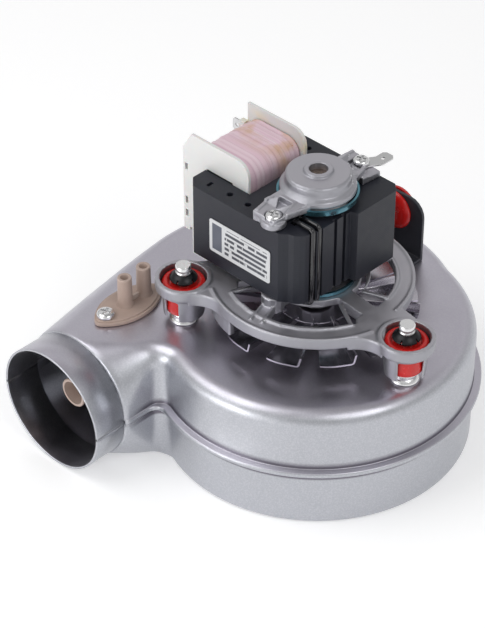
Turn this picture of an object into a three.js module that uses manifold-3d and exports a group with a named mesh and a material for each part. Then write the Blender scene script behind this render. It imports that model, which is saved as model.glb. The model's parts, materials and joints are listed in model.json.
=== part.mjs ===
// Combustion fan of a room-sealed gas boiler: a pressed-steel volute, a die-cast motor bracket on
// three rubber-mounted posts, a C-frame shaded-pole motor, and one rotor that carries the impeller
// below the volute's top plate and a petal cooling fan above it.
//
// Units are millimetres, +Z up. Everything is modelled around the shaft axis, with Z = 0 at the
// underside of the volute and the outlet pointing along -Y; the last lines move the whole fan so
// that its origin is the centre of its bounding box's underside.

import * as THREE from 'three';
import { mergeVertices } from 'three/addons/utils/BufferGeometryUtils.js';
import Module from 'manifold-3d';

const wasm = await Module();
wasm.setup();

// ---------------------------------------------------------------- driving dimensions

const gap = 0.3;                      // clearance left between pieces that touch

const volute = {
  height: 61, wall: 1,
  tightRadius: 70.5, openRadius: 72.5,   // drum wall at the tongue, and where the spiral starts
  tongueAngle: -110.7, spiralAngle: 75,  // degrees round the shaft axis
  topEdge: 7, bottomEdge: 3,             // rounding of the two pressed halves
  eyeRadius: 37, eyeLip: 9, shaftHole: 6.5,
};

const outlet = {
  x: -62.8, radius: 29.9,               // round collar that the flue hood slides over
  mouthY: -103.3, collarEndY: -86.9,     // the collar ends in a small step
  squareLeft: -4, squareRight: -74,      // where the duct's corners reach the drum's own rounding
  rightFillet: 6,
};

const seam = { z: 30.5, flange: 4.1, halfHeight: 1.9, collarFlange: 0.5 };

const mounts = {
  radius: 58.2,
  angles: { left: -132.8, right: -5.8, rear: 121.2 },
  post: 3.5, postTop: 90.5, footRadius: 6.6, footTop: 66.5,
};

const cup = {
  rimOuter: 12.6, rimInner: 10.5, sleeveOuter: 9.7, sleeveInner: 8.3,
  bottom: 65, wellFloor: 78.2, rim: 84,
};

const bracket = {
  bottom: 79.6, top: 83.2, bead: 0.8,
  frontRim: 47.6, rearRim: 43.6, rimWidth: 8.8, hub: 20,
  hubBottom: 70, hubBoss: 8.6, armWidth: 8, lugRadius: 5.2, seat: 87.7,
};

const stack = {
  left: -49.3, nose: 17, right: 20.4, half: 31, bottom: 88, top: 124,
  windowX: -22.6, windowHalf: 18.7, bore: 14.2, chamfer: 4.5, rearChamfer: 3.5, noseRadius: 9,
};

const coil = {
  left: -57.8, right: -25.4, bottom: 78.6, top: 133.6, corner: 7,
  flangeLeft: -58.4, flangeRight: -23.6, flangeBottom: 74.2, flangeTop: 138,
  flange: 1.5, half: 18.4, coreLeft: -48.5, coreRight: -33.5, tube: 1.2, tape: 0.9,
};

const terminals = {
  postLeft: -63.6, postRight: -59.8, postTop: 129.5, postDepth: 4.4,
  tip: -66.6, root: -58.3, y: 15.7, sheet: 0.8, width: 6.3, bottoms: [121, 97.5],
};

const capTop = { disc: 14.3, waist: 12.6, skirt: 16.6, top: 138, lip: 129.4, seat: 124.2 };

const screws = { y: 27.5, shank: 1.9, head: 3.7, headBase: 127.4 };

const earth = { sheet: 0.8, left: 0.9, right: 7.2, rootY: 34, tipY: 41.8 };

const shaft = { radius: 2.5, bottom: 38.5, top: 135, bore: 2.58 };

const wheel = {
  radius: 60, eye: 41, bottom: 12.5, top: 53.5, sheet: 0.9, blades: 18, hub: 9, sweep: 32,
};

const petals = { count: 12, hub: 17, tip: 46, z: 68.5, sheet: 0.9, tilt: 24 };

const fine = 36;                      // segments round the large circles
const medium = 20;                    // round the cups, rings and bearing seats
const coarse = 12;                    // round screws, posts and other small pieces
const tiny = 8;                       // round bores of a few millimetres

// ---------------------------------------------------------------- finishes

const finish = (color, roughness, metalness) => ({ color, roughness, metalness });

const finishes = {
  sheet: finish(0xb4b6bb, 0.42, 1.0),
  casting: finish(0xa9a9ac, 0.5, 1.0),
  bright: finish(0xd8d8da, 0.2, 1.0),
  blued: finish(0x3c7283, 0.25, 1.0),
  lamination: finish(0x35363b, 0.55, 0.3),
  core: finish(0x4a4a4e, 0.5, 0.8),
  bobbin: finish(0xe3e2dc, 0.5, 0.0),
  tape: finish(0xcbb2bb, 0.6, 0.0),
  copper: finish(0xb87333, 0.35, 1.0),
  lacquer: finish(0x101012, 0.15, 0.2),
  bronze: finish(0x8a6a48, 0.45, 0.9),
  silicone: finish(0xc0201a, 0.35, 0.0),
  washer: finish(0x1b1b1d, 0.4, 0.6),
  tap: finish(0x9b8273, 0.6, 0.0),
  hanger: finish(0x3f4045, 0.5, 0.6),
  tin: finish(0xa7a7aa, 0.3, 1.0),
  label: finish(0xd6d7d9, 0.4, 0.1),
  rotor: finish(0x8b8d92, 0.4, 0.9),
  blade: finish(0x9ea0a6, 0.25, 1.0),
  blackPlastic: finish(0x141416, 0.5, 0.0),
};

// ---------------------------------------------------------------- small tools

const radians = THREE.MathUtils.degToRad;

function polar(radius, degrees) {
  const angle = radians(degrees);
  return new THREE.Vector2(radius * Math.cos(angle), radius * Math.sin(angle));
}

// Six times the signed volume of a closed mesh: negative when its faces point inwards.
function signedVolume(position, index) {
  const [a, b, c] = [new THREE.Vector3(), new THREE.Vector3(), new THREE.Vector3()];
  let sum = 0;
  for (let i = 0; i < index.length; i += 3) {
    a.fromArray(position, index[i] * 3);
    b.fromArray(position, index[i + 1] * 3);
    c.fromArray(position, index[i + 2] * 3);
    sum += a.dot(b.cross(c));
  }
  return sum;
}

// A closed geometry as a manifold solid, facing outwards, that can be joined and cut.
function solid(geometry) {
  const bare = geometry.clone();
  bare.deleteAttribute('normal');
  bare.deleteAttribute('uv');
  const merged = mergeVertices(bare, 1e-4);
  const vertProperties = new Float32Array(merged.attributes.position.array);
  const triVerts = new Uint32Array(merged.index.array);
  if (signedVolume(vertProperties, triVerts) < 0) {
    triVerts.reverse();
  }
  return new wasm.Manifold(new wasm.Mesh({ numProp: 3, vertProperties, triVerts }));
}

function geometryOf(manifold) {
  const mesh = manifold.getMesh();
  const geometry = new THREE.BufferGeometry();
  geometry.setAttribute('position', new THREE.BufferAttribute(mesh.vertProperties, 3));
  geometry.setIndex(new THREE.BufferAttribute(mesh.triVerts, 1));
  geometry.computeVertexNormals();
  return geometry;
}

function joined(pieces) {
  return pieces.reduce((whole, piece) => whole.add(piece));
}

function box(x0, x1, y0, y1, z0, z1) {
  const geometry = new THREE.BoxGeometry(x1 - x0, y1 - y0, z1 - z0);
  geometry.translate((x0 + x1) / 2, (y0 + y1) / 2, (z0 + z1) / 2);
  return solid(geometry);
}

// A disc or cone frustum standing on z0, with its axis along +Z at (x, y).
function drum(radius, z0, z1, { x = 0, y = 0, segments = coarse, topRadius = radius } = {}) {
  const geometry = new THREE.CylinderGeometry(topRadius, radius, z1 - z0, segments);
  geometry.rotateX(Math.PI / 2);
  geometry.translate(x, y, (z0 + z1) / 2);
  return solid(geometry);
}

function tube(outer, inner, z0, z1, place = {}) {
  return drum(outer, z0, z1, place).subtract(drum(inner, z0 - 1, z1 + 1, place));
}

// A plan outline given as points, extruded from z0 to z1.
function plate(points, z0, z1, holes = []) {
  const shape = new THREE.Shape(points);
  for (const hole of holes) {
    shape.holes.push(new THREE.Path(hole));
  }
  const geometry = new THREE.ExtrudeGeometry(shape, { depth: z1 - z0, bevelEnabled: false });
  geometry.translate(0, 0, z0);
  return solid(geometry);
}

// A profile of [radius, z] points turned round the Z axis at (x, y).
function turned(profile, { x = 0, y = 0, segments = coarse } = {}) {
  const points = profile.map(([radius, z]) => new THREE.Vector2(radius, z));
  const geometry = new THREE.LatheGeometry(points, segments);
  geometry.rotateX(Math.PI / 2);
  geometry.translate(x, y, 0);
  return solid(geometry);
}

function arc(cx, cy, radius, from, to, steps) {
  const points = [];
  for (let i = 0; i <= steps; i += 1) {
    points.push(polar(radius, from + ((to - from) * i) / steps).add(new THREE.Vector2(cx, cy)));
  }
  return points;
}

function circle(cx, cy, radius, segments = coarse) {
  return arc(cx, cy, radius, 0, 360 - 360 / segments, segments - 1);
}

// A rounded rectangle whose left and right corners have their own radii.
function roundedBox(x0, x1, y0, y1, left, right, steps = 3) {
  return [
    ...arc(x1 - right, y0 + right, right, -90, 0, steps),
    ...arc(x1 - right, y1 - right, right, 0, 90, steps),
    ...arc(x0 + left, y1 - left, left, 90, 180, steps),
    ...arc(x0 + left, y0 + left, left, 180, 270, steps),
  ];
}

function roundedRect(x0, x1, y0, y1, radius, steps = 4) {
  return roundedBox(x0, x1, y0, y1, radius, radius, steps);
}

// A closed skin through rings of equal length, each ring turning the same way round the skin.
function loft(rings) {
  const count = rings[0].length;
  const positions = [];
  const index = [];
  const push = (point) => positions.push(point.x, point.y, point.z);
  rings.forEach((ring) => ring.forEach(push));
  for (let r = 0; r < rings.length - 1; r += 1) {
    for (let i = 0; i < count; i += 1) {
      const a = r * count + i;
      const b = r * count + ((i + 1) % count);
      index.push(a, b, b + count, a, b + count, a + count);
    }
  }
  const middle = (ring) => ring.reduce((sum, p) => sum.add(p), new THREE.Vector3())
    .divideScalar(count);
  const first = rings.length * count;
  push(middle(rings[0]));
  push(middle(rings[rings.length - 1]));
  for (let i = 0; i < count; i += 1) {
    const j = (i + 1) % count;
    const last = (rings.length - 1) * count;
    index.push(first, j, i);
    index.push(first + 1, last + i, last + j);
  }
  const geometry = new THREE.BufferGeometry();
  geometry.setAttribute('position', new THREE.Float32BufferAttribute(positions, 3));
  geometry.setIndex(index);
  return solid(geometry);
}

const fan = new THREE.Group();

function add(name, shape, look, parent = fan) {
  const geometry = shape.isBufferGeometry ? shape : geometryOf(shape);
  const mesh = new THREE.Mesh(geometry, new THREE.MeshStandardMaterial(finishes[look]));
  mesh.name = name;
  parent.add(mesh);
  return mesh;
}

// ---------------------------------------------------------------- volute casing

// Wall radius of the drum: nearly constant round the tight side, then a spiral that opens out to
// the duct's left wall, which it meets square on.
function wallRadius(degrees) {
  const { tightRadius, openRadius, tongueAngle, spiralAngle } = volute;
  if (degrees <= spiralAngle) {
    const along = (degrees - tongueAngle) / (spiralAngle - tongueAngle);
    return tightRadius + (openRadius - tightRadius) * along;
  }
  const leftWall = -(outlet.x - volute.height / 2);
  const along = (degrees - spiralAngle) / (180 - spiralAngle);
  return openRadius + (leftWall - openRadius) * Math.sin((along * Math.PI) / 2);
}

// Plan outline of the drum, moved inwards by inset. It ends where the wall meets the duct.
function casingOutline(inset, step = 12) {
  const points = [];
  const turns = Math.round((180 - volute.tongueAngle) / step);
  for (let i = 0; i <= turns; i += 1) {
    const degrees = volute.tongueAngle + ((180 - volute.tongueAngle) * i) / turns;
    points.push(polar(wallRadius(degrees) - inset, degrees));
  }
  return points;
}

// Right side of the duct, from the straight duct round the fillet and on into the drum.
function rightWall(y) {
  const straight = outlet.x + volute.height / 2;
  const r = outlet.rightFillet;
  const centreX = straight + r;
  const centreY = -Math.sqrt((volute.tightRadius + r) ** 2 - centreX ** 2);
  const rise = Math.min(Math.max(y - centreY, 0), r);
  const beyond = Math.max(y - centreY - r, 0);
  return centreX - Math.sqrt(r * r - rise * rise) + beyond / 2;
}

// The duct between the collar and the drum: round at the collar, with corners that tighten to the
// casing's own rounding, sooner on the right side than on the left.
function duct(inset, edge) {
  const half = volute.height / 2;
  const { x, collarEndY, squareLeft, squareRight } = outlet;
  const cornerAt = (y, end) => {
    const along = Math.min((y - collarEndY) / (end - collarEndY), 1);
    return half + (edge - half) * along - inset - 0.01;
  };
  const stations = [collarEndY, -82, -78, squareRight, -70, -66.2, -60, -40, -20, squareLeft, 0.5];
  return loft(stations.map((y) => {
    const ring = roundedBox(x - half + inset, rightWall(y) - inset, inset,
      volute.height - inset, cornerAt(y, squareLeft), cornerAt(y, squareRight));
    return ring.map((p) => new THREE.Vector3(p.x, y, p.y));
  }));
}

function collar(radius, y0, y1) {
  const geometry = new THREE.CylinderGeometry(radius, radius, y1 - y0, fine);
  geometry.translate(outlet.x, (y0 + y1) / 2, volute.height / 2);
  return solid(geometry);
}

// Whole casing as one block, moved inwards by inset, its edges rounded by edge.
function casingBlock(inset, edge, collarStart) {
  const outline = casingOutline(inset + edge);
  const geometry = new THREE.ExtrudeGeometry(new THREE.Shape(outline), {
    depth: volute.height - 2 * (inset + edge),
    bevelThickness: edge,
    bevelSize: edge,
    bevelSegments: 2,
  });
  geometry.translate(0, 0, inset + edge);
  return joined([
    solid(geometry),
    duct(inset, edge + inset),
    collar(outlet.radius - inset, collarStart, outlet.collarEndY + 1),
  ]);
}

// Seam flange that runs round the casing and thins down to a bead along the collar.
function seamFlange(flange, z0, z1) {
  const half = volute.height / 2;
  const left = outlet.x - half;
  const outline = casingOutline(-flange);
  outline.push(
    new THREE.Vector2(left - flange, -52),
    new THREE.Vector2(left - seam.collarFlange, -80),
    new THREE.Vector2(left - seam.collarFlange, outlet.collarEndY),
    new THREE.Vector2(outlet.x - outlet.radius - seam.collarFlange, outlet.collarEndY - 0.2),
    new THREE.Vector2(outlet.x - outlet.radius - seam.collarFlange, outlet.mouthY + 5),
    new THREE.Vector2(outlet.x + outlet.radius + seam.collarFlange, outlet.mouthY + 5),
    new THREE.Vector2(outlet.x + outlet.radius + seam.collarFlange, outlet.collarEndY - 0.2),
    new THREE.Vector2(rightWall(outlet.collarEndY) + seam.collarFlange, outlet.collarEndY),
  );
  for (const y of [-74, -71, -68.5, -66.6]) {
    outline.push(new THREE.Vector2(rightWall(y) + 1.6, y));
  }
  return plate(outline, z0, z1);
}

function shellHalf(edge, z0, z1, flange, flangeZ0, flangeZ1) {
  const outer = casingBlock(0, edge, outlet.mouthY)
    .intersect(box(-120, 120, -120, 120, z0, z1))
    .add(seamFlange(flange, flangeZ0, flangeZ1));
  return outer.subtract(casingBlock(volute.wall, edge - volute.wall, outlet.mouthY - 2));
}

function upperShell() {
  const z0 = seam.z + 0.1;
  const shell = shellHalf(volute.topEdge, z0, volute.height,
    seam.flange - 0.5, z0, seam.z + seam.halfHeight);
  return shell.subtract(drum(volute.shaftHole, volute.height - 5, volute.height + 5));
}

// The inlet eye's edge is drawn inwards into a bell mouth that feeds the impeller.
function lowerShell() {
  const { eyeRadius, eyeLip, wall, bottomEdge } = volute;
  const z1 = seam.z - 0.1;
  const shell = shellHalf(bottomEdge, 0, z1, seam.flange, seam.z - seam.halfHeight, z1);
  const bell = turned([
    [eyeRadius + 6, 0], [eyeRadius + 2.2, 0.9], [eyeRadius + 0.6, 3], [eyeRadius, eyeLip],
    [eyeRadius + wall, eyeLip], [eyeRadius + 1.7, 3.4], [eyeRadius + 3, 1.7],
    [eyeRadius + 7, wall], [eyeRadius + 7, 0], [eyeRadius + 6, 0],
  ], { segments: fine });
  return shell
    .subtract(drum(eyeRadius + 6.5, -1, 5, { segments: fine }))
    .add(bell);
}

add('volute_upper_shell', upperShell(), 'sheet');
add('volute_lower_shell', lowerShell(), 'sheet');

// ---------------------------------------------------------------- pressure tap

const tap = {
  centreY: -54.8, halfLength: 19.4, halfWidth: 10.4, thickness: 2.6,
  nozzleY: [-56.5, -45], nozzle: 3.2, nozzleBore: 1.7, nozzleTop: 78.6,
  screwY: -68.4, probeY: [-90, -44], probeZ: 32, probe: 4.8, funnel: 7, funnelLength: 14,
};

// An oval plate on the duct's top with two hose nozzles; a venturi tube hangs below it in the air
// stream, with its funnel towards the outlet.
function pressureTap() {
  const { height, wall } = volute;
  const outline = [];
  for (let i = 0; i < medium; i += 1) {
    const angle = (i / medium) * 2 * Math.PI;
    const narrowing = 1 - 0.34 * Math.abs(Math.sin(angle)) ** 3;
    outline.push(new THREE.Vector2(
      outlet.x + tap.halfWidth * narrowing * Math.cos(angle),
      tap.centreY + tap.halfLength * Math.sin(angle)));
  }
  const base = height + 0.2;
  const body = [plate(outline, base, base + tap.thickness)];
  const bores = [];
  for (const y of tap.nozzleY) {
    body.push(drum(tap.nozzle + 0.3, base + 1, tap.nozzleTop,
      { x: outlet.x, y, topRadius: tap.nozzle }));
    body.push(drum(tap.nozzle, tap.probeZ, base + 1, { x: outlet.x, y }));
    bores.push(drum(tap.nozzleBore, tap.probeZ, tap.nozzleTop + 1,
      { x: outlet.x, y, segments: tiny }));
  }
  const [y0, y1] = tap.probeY;
  const skin = 1.3;
  const along = (profile) => {
    const points = profile.map(([radius, y]) => new THREE.Vector2(radius, y));
    const geometry = new THREE.LatheGeometry(points, coarse);
    geometry.translate(outlet.x, 0, tap.probeZ);
    return solid(geometry);
  };
  body.push(along([[0, y0], [tap.funnel, y0], [tap.probe, y0 + tap.funnelLength],
    [tap.probe, y1], [0, y1]]));
  bores.push(along([[0, y0 - 1], [tap.funnel - skin, y0 - 1],
    [tap.probe - skin, y0 + tap.funnelLength], [tap.probe - skin, y1 + 1], [0, y1 + 1]]));
  bores.push(drum(1.6, base - 5, base + 9, { x: outlet.x, y: tap.screwY, segments: tiny }));
  return joined(body).subtract(joined(bores))
    .subtract(box(outlet.x - 20, outlet.x + 20, -90, -30, height - wall - 0.2, base)
      .subtract(joined(tap.nozzleY.map((y) => drum(tap.nozzle, 50, 70,
        { x: outlet.x, y })))));
}

// Clearance holes in the duct's top for the two nozzle stems and the fixing screw.
function tapHoles() {
  const { height } = volute;
  const stems = tap.nozzleY.map((y) => drum(tap.nozzle + gap, height - 5, height + 2,
    { x: outlet.x, y }));
  return joined([...stems,
    drum(1.5 + gap, height - 5, height + 2, { x: outlet.x, y: tap.screwY, segments: tiny })]);
}

// A pan-head screw standing at (x, y): head from z up, shank down to zEnd, cross recess on top.
function panScrew({ x = 0, y = 0, z, zEnd, head, shank, height = 2.4 }) {
  const profile = [[0, zEnd], [shank, zEnd], [shank, z], [head, z], [head, z + height * 0.45],
    [head * 0.72, z + height * 0.88], [0, z + height]];
  const slot = head * 0.55;
  const blade = head * 0.14;
  const depth = height * 0.5;
  const cross = box(x - slot, x + slot, y - blade, y + blade, z + depth, z + height + 1)
    .add(box(x - blade, x + blade, y - slot, y + slot, z + depth, z + height + 1));
  return turned(profile, { x, y, segments: 12 }).subtract(cross);
}

add('pressure_tap', pressureTap(), 'tap');
add('pressure_tap_screw', panScrew({
  x: outlet.x, y: tap.screwY, z: volute.height + 0.5 + tap.thickness, zEnd: volute.height - 4,
  head: 3.9, shank: 1.45,
}), 'bright');

const upper = fan.getObjectByName('volute_upper_shell');
upper.geometry = geometryOf(solid(upper.geometry).subtract(tapHoles()));

// ---------------------------------------------------------------- rubber mounts

// Each post stands on the volute's top plate; the bracket's cup rides on a silicone grommet
// round it, and a black push-on washer holds the grommet down.
function mountingPost(x, y) {
  const base = volute.height + 0.2;
  const { post, postTop, footRadius, footTop } = mounts;
  return turned([
    [0, base], [footRadius, base], [footRadius - 1.3, base + 2.4], [footRadius, footTop],
    [post, footTop + 0.2], [post, postTop - 3.6], [post - 0.7, postTop - 3],
    [post, postTop - 2.2], [post, postTop], [0, postTop],
  ], { x, y });
}

function grommet(x, y) {
  const { footTop, post } = mounts;
  const { sleeveInner, rimInner, wellFloor } = cup;
  const inner = post + gap;
  const outer = sleeveInner - gap;
  const lip = rimInner - 1;
  return turned([
    [inner, footTop + 0.5], [outer, footTop + 0.5], [outer, wellFloor + gap],
    [lip, wellFloor + gap], [lip, wellFloor + 2.6], [lip - 1.4, wellFloor + 3.5],
    [inner, wellFloor + 2.6],
    [inner, footTop + 0.5],
  ], { x, y, segments: coarse + 4 });
}

function lockWasher(x, y) {
  const { post, postTop } = mounts;
  const inner = post + 0.15;
  const z = cup.wellFloor + 4;
  const teeth = [];
  const ring = turned([
    [inner, z], [inner + 3.4, z - 0.4], [inner + 3.6, z + 0.4], [inner + 0.9, z + 1.5],
    [inner, z + 1.3], [inner, z],
  ], { x, y });
  for (let i = 0; i < 4; i += 1) {
    const geometry = new THREE.BoxGeometry(1.6, 0.5, postTop);
    geometry.translate(inner + 1, 0, 0);
    geometry.rotateZ(radians(90 * i + 45));
    geometry.translate(x, y, z);
    teeth.push(solid(geometry));
  }
  return ring.subtract(joined(teeth));
}

for (const [side, angle] of Object.entries(mounts.angles)) {
  const { x, y } = polar(mounts.radius, angle);
  add(`mounting_post_${side}`, mountingPost(x, y), 'bright');
  add(`grommet_${side}`, grommet(x, y), 'silicone');
  add(`lock_washer_${side}`, lockWasher(x, y), 'washer');
}

// ---------------------------------------------------------------- motor bracket

// One side of the rim: a flat arc from cup to cup. The side under the coil has none.
function rimArc(from, to, outer, z0, z1) {
  const inner = outer - bracket.rimWidth;
  return plate([...arc(0, 0, outer, from, to, 12), ...arc(0, 0, inner, to, from, 12)], z0, z1);
}

// Flat bar from the shaft axis towards an angle, with a parallel width.
function arm(angle, from, to, width, z0, z1) {
  const geometry = new THREE.BoxGeometry(to - from, width, z1 - z0);
  geometry.translate((from + to) / 2, 0, (z0 + z1) / 2);
  geometry.rotateZ(radians(angle));
  return solid(geometry);
}

// Tapered web that blends the arcs of the rim into a cup.
function cupWeb(angle, z0, z1) {
  const { x, y } = polar(mounts.radius, angle);
  const spread = 17;
  const points = [];
  for (const side of [-1, 1]) {
    const near = polar(bracket.rearRim - 0.6, angle + side * spread);
    const far = polar(bracket.rearRim - 8, angle + side * spread * 0.75);
    points.push(...(side < 0 ? [far, near] : [near, far]));
  }
  const normal = polar(cup.rimOuter - 1, angle + 90);
  const outerPoints = [
    new THREE.Vector2(x - normal.x, y - normal.y), new THREE.Vector2(x + normal.x, y + normal.y),
  ];
  return plate([points[0], points[1], ...outerPoints, points[2], points[3]], z0, z1);
}

function cupBody(x, y) {
  const { rimOuter, sleeveOuter, bottom, rim, wellFloor } = cup;
  return turned([
    [0, bottom], [sleeveOuter - 0.8, bottom], [sleeveOuter, wellFloor - 1.6],
    [rimOuter, wellFloor + 0.4], [rimOuter, rim], [0, rim],
  ], { x, y, segments: medium });
}

function cupHollow(x, y) {
  const { rimInner, sleeveInner, bottom, rim, wellFloor } = cup;
  return drum(sleeveInner, bottom - 1, rim, { x, y, segments: medium })
    .add(drum(rimInner, wellFloor, rim + 1, { x, y, segments: medium }));
}

// Two windows through the sleeve, open at its lower edge, at the given angles.
function cupWindows({ x, y }, angles, width) {
  return joined(angles.map((angle) => {
    const geometry = new THREE.BoxGeometry(8, width, 12);
    geometry.translate(cup.sleeveOuter, 0, cup.bottom + 5.5);
    geometry.rotateZ(radians(angle));
    geometry.translate(x, y, 0);
    return solid(geometry);
  }));
}

// Raised bead round the edge of the plate's openings.
function openingBead(outline, width) {
  const shape = new THREE.Shape(outline);
  const centre = outline.reduce((sum, p) => sum.add(p), new THREE.Vector2())
    .divideScalar(outline.length);
  const grown = outline.map((p) => {
    const offset = p.clone().sub(centre);
    return centre.clone().add(offset.multiplyScalar(1 + width / offset.length()));
  });
  const geometry = new THREE.ExtrudeGeometry(new THREE.Shape(grown), {
    depth: bracket.bead + 0.6, bevelEnabled: false,
  });
  geometry.translate(0, 0, bracket.top - 0.6);
  return solid(geometry).subtract(plate(shape.getPoints(), bracket.top - 2, bracket.top + 3));
}

// A rounded opening between two arms: the outline runs along both arms, the hub and the rim.
function opening(from, to, inner, outer) {
  const round = 7;
  const middle = (from + to) / 2;
  return [
    ...arc(0, 0, outer, from + round, to - round, 8),
    ...arc(0, 0, inner, to - 5, middle, 4),
    ...arc(0, 0, inner, middle, from + 5, 4).slice(1),
  ];
}

function motorBracket() {
  const { bottom, top, hub, hubBottom, hubBoss, armWidth, lugRadius, seat } = bracket;
  const { left, right, rear } = mounts.angles;
  const cups = [left, right, rear].map((angle) => polar(mounts.radius, angle));
  const body = [
    rimArc(left, right, bracket.frontRim, bottom, top),
    rimArc(right, rear, bracket.rearRim, bottom, top),
    drum(hub, bottom, top, { segments: medium }),
    drum(hubBoss, hubBottom, bottom + 1),
  ];
  for (const angle of [left, right, rear]) {
    body.push(arm(angle, hub - 3, mounts.radius - 6, armWidth, bottom, top));
    body.push(arm(angle, hub - 3, mounts.radius - 12, 2.6, bottom - 5, bottom + 1));
    body.push(cupWeb(angle, bottom, top));
  }
  for (const { x, y } of cups) {
    body.push(cupBody(x, y));
  }
  for (const side of [-1, 1]) {
    body.push(drum(lugRadius, bottom, seat, { y: side * screws.y }));
    body.push(box(-3.4, 3.4, side > 0 ? hub - 4 : -screws.y, side > 0 ? screws.y : 4 - hub,
      bottom, top));
  }
  // Strut from the front screw's lug out to the rim.
  const strut = new THREE.BoxGeometry(19, 6.4, top - bottom);
  strut.translate(11, 0, (bottom + top) / 2);
  strut.rotateZ(radians(-72));
  strut.translate(-1, -25, 0);
  body.push(solid(strut));
  // Deep gusset that runs from the left cup along the front rim.
  const gusset = arc(0, 0, bracket.frontRim - 0.2, left + 12, left + 34, 4);
  const gussetBack = arc(0, 0, bracket.frontRim - 3, left + 34, left + 12, 4);
  body.push(plate([...gusset, ...gussetBack], bottom - 9, top));

  const frontOpening = opening(left + 12, right - 13, hub + 4,
    bracket.frontRim - bracket.rimWidth);
  const rightOpening = opening(right + 14, rear - 54, hub + 4,
    bracket.rearRim - bracket.rimWidth);
  body.push(openingBead(frontOpening, 2), openingBead(rightOpening, 2));

  const cuts = cups.map(({ x, y }) => cupHollow(x, y));
  cuts.push(cupWindows(cups[0], [-82, 98], 6.8));
  cuts.push(cupWindows(cups[1], [-32, 148], 11.4));
  cuts.push(cupWindows(cups[2], [60, -120], 8.2));
  for (const side of [-1, 1]) {
    cuts.push(drum(screws.shank + gap, bottom - 1, seat + 1,
      { y: side * screws.y, segments: tiny }));
  }
  // Bearing pocket and shaft hole in the hub.
  cuts.push(drum(6.4, hubBottom + 2.4, top + 3));
  cuts.push(drum(3.4, hubBottom - 1, hubBottom + 4, { segments: tiny }));
  return joined(body).subtract(joined(cuts));
}

add('motor_bracket', motorBracket(), 'casting');

// ---------------------------------------------------------------- hanger

const hanger = {
  y: 61.6, sheet: 1.5, left: -17, right: 8.3, top: 92.7, corner: 8.5, foot: 5,
  eyeX: -8, eyeZ: 83, hole: 7.2, frontFlange: 9.6, rearFlange: 10.4,
};

// An upright sheet with its foot spot-welded to the volute's top, and a silicone grommet in it
// that a peg of the boiler's back plate enters.
function hangerPlate() {
  const { left, right, top, corner, y, sheet } = hanger;
  const base = volute.height + 0.2;
  const outline = [
    new THREE.Vector2(left, base), new THREE.Vector2(right, base),
    ...arc(right - corner, top - corner, corner, 0, 90, 5),
    ...arc(left + 5, top - 5, 5, 90, 180, 3),
  ];
  const shape = new THREE.Shape(outline);
  shape.holes.push(new THREE.Path(circle(hanger.eyeX, hanger.eyeZ, hanger.hole, medium)));
  const geometry = new THREE.ExtrudeGeometry(shape, { depth: sheet, bevelEnabled: false });
  geometry.rotateX(Math.PI / 2);
  geometry.translate(0, y + sheet, 0);
  return solid(geometry).add(box(left, right, y - hanger.foot, y + 1, base, base + sheet));
}

function hangerGrommet() {
  const { y, sheet, hole, eyeX, eyeZ, frontFlange, rearFlange } = hanger;
  const profile = [
    [2.6, y - 3.2], [frontFlange, y - 2.4], [frontFlange, y - gap], [hole - gap, y - gap],
    [hole - gap, y + sheet + gap], [rearFlange, y + sheet + gap], [rearFlange, y + sheet + 2.4],
    [2.6, y + sheet + 2.4], [2.6, y - 3.2],
  ].map(([radius, along]) => new THREE.Vector2(radius, along));
  const geometry = new THREE.LatheGeometry(profile, 20);
  geometry.translate(eyeX, 0, eyeZ);
  return solid(geometry);
}

add('hanger_plate', hangerPlate(), 'hanger');
add('hanger_grommet', hangerGrommet(), 'silicone');

// ---------------------------------------------------------------- stator

// Each pole has two shading rings. Their inner legs run down slots beside the bore; the outer legs
// lie in grooves down the stack's nose, or in slots beside the coil's window.
const shading = {
  radius: 1.1, slot: 1.5, rows: [20.4, 16.6], innerX: 5.5, noseX: stack.nose - 0.9, coilX: -20,
};

function shadingSlot(x, y, reach = shading.slot) {
  const { slot } = shading;
  return box(x - slot, x + reach, y - slot, y + slot, stack.bottom - 1, stack.top + 1);
}

function statorStack() {
  const { left, nose, right, half, bottom, top, bore, chamfer, rearChamfer, noseRadius } = stack;
  const { windowX, windowHalf } = stack;
  const outline = [
    new THREE.Vector2(left, -half + chamfer), new THREE.Vector2(left + chamfer, -half),
    new THREE.Vector2(6, -half), new THREE.Vector2(7.6, -half + 1.2),
    ...arc(nose - noseRadius, noseRadius - half + 1.6, noseRadius - 1, -80, -8, 4),
    new THREE.Vector2(nose, -half + noseRadius + 2.4),
    new THREE.Vector2(nose, 2.2), new THREE.Vector2(right, 3.2),
    new THREE.Vector2(right, half - rearChamfer), new THREE.Vector2(right - rearChamfer, half),
    new THREE.Vector2(left + chamfer, half), new THREE.Vector2(left, half - chamfer),
    new THREE.Vector2(left, windowHalf), new THREE.Vector2(windowX, windowHalf),
    new THREE.Vector2(windowX, -windowHalf), new THREE.Vector2(left, -windowHalf),
  ];
  const holes = [circle(0, 0, bore, fine)];
  for (const side of [-1, 1]) {
    holes.push(circle(0, side * screws.y, screws.shank + gap, tiny));
    holes.push(circle(-28.6, side * 24.6, 1.5, tiny));
    holes.push(circle(-17.8, side * 24.6, 1.5, tiny));
  }
  const cuts = [];
  for (const row of shading.rows) {
    cuts.push(shadingSlot(shading.innerX, -row), shadingSlot(shading.noseX, -row, 5));
    cuts.push(shadingSlot(-shading.innerX, row), shadingSlot(shading.coilX, row));
  }
  for (const y of [-7, -1.4]) {
    cuts.push(box(nose - 1.4, nose + 2, y - 0.9, y + 0.9, bottom - 1, top + 1));
  }
  cuts.push(box(-41, -39.4, -26.8, -23.6, top - 1.5, top + 1));
  cuts.push(box(-41, -39.4, 23.6, 26.8, top - 1.5, top + 1));
  return plate(outline, bottom, top, holes).subtract(joined(cuts));
}

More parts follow.
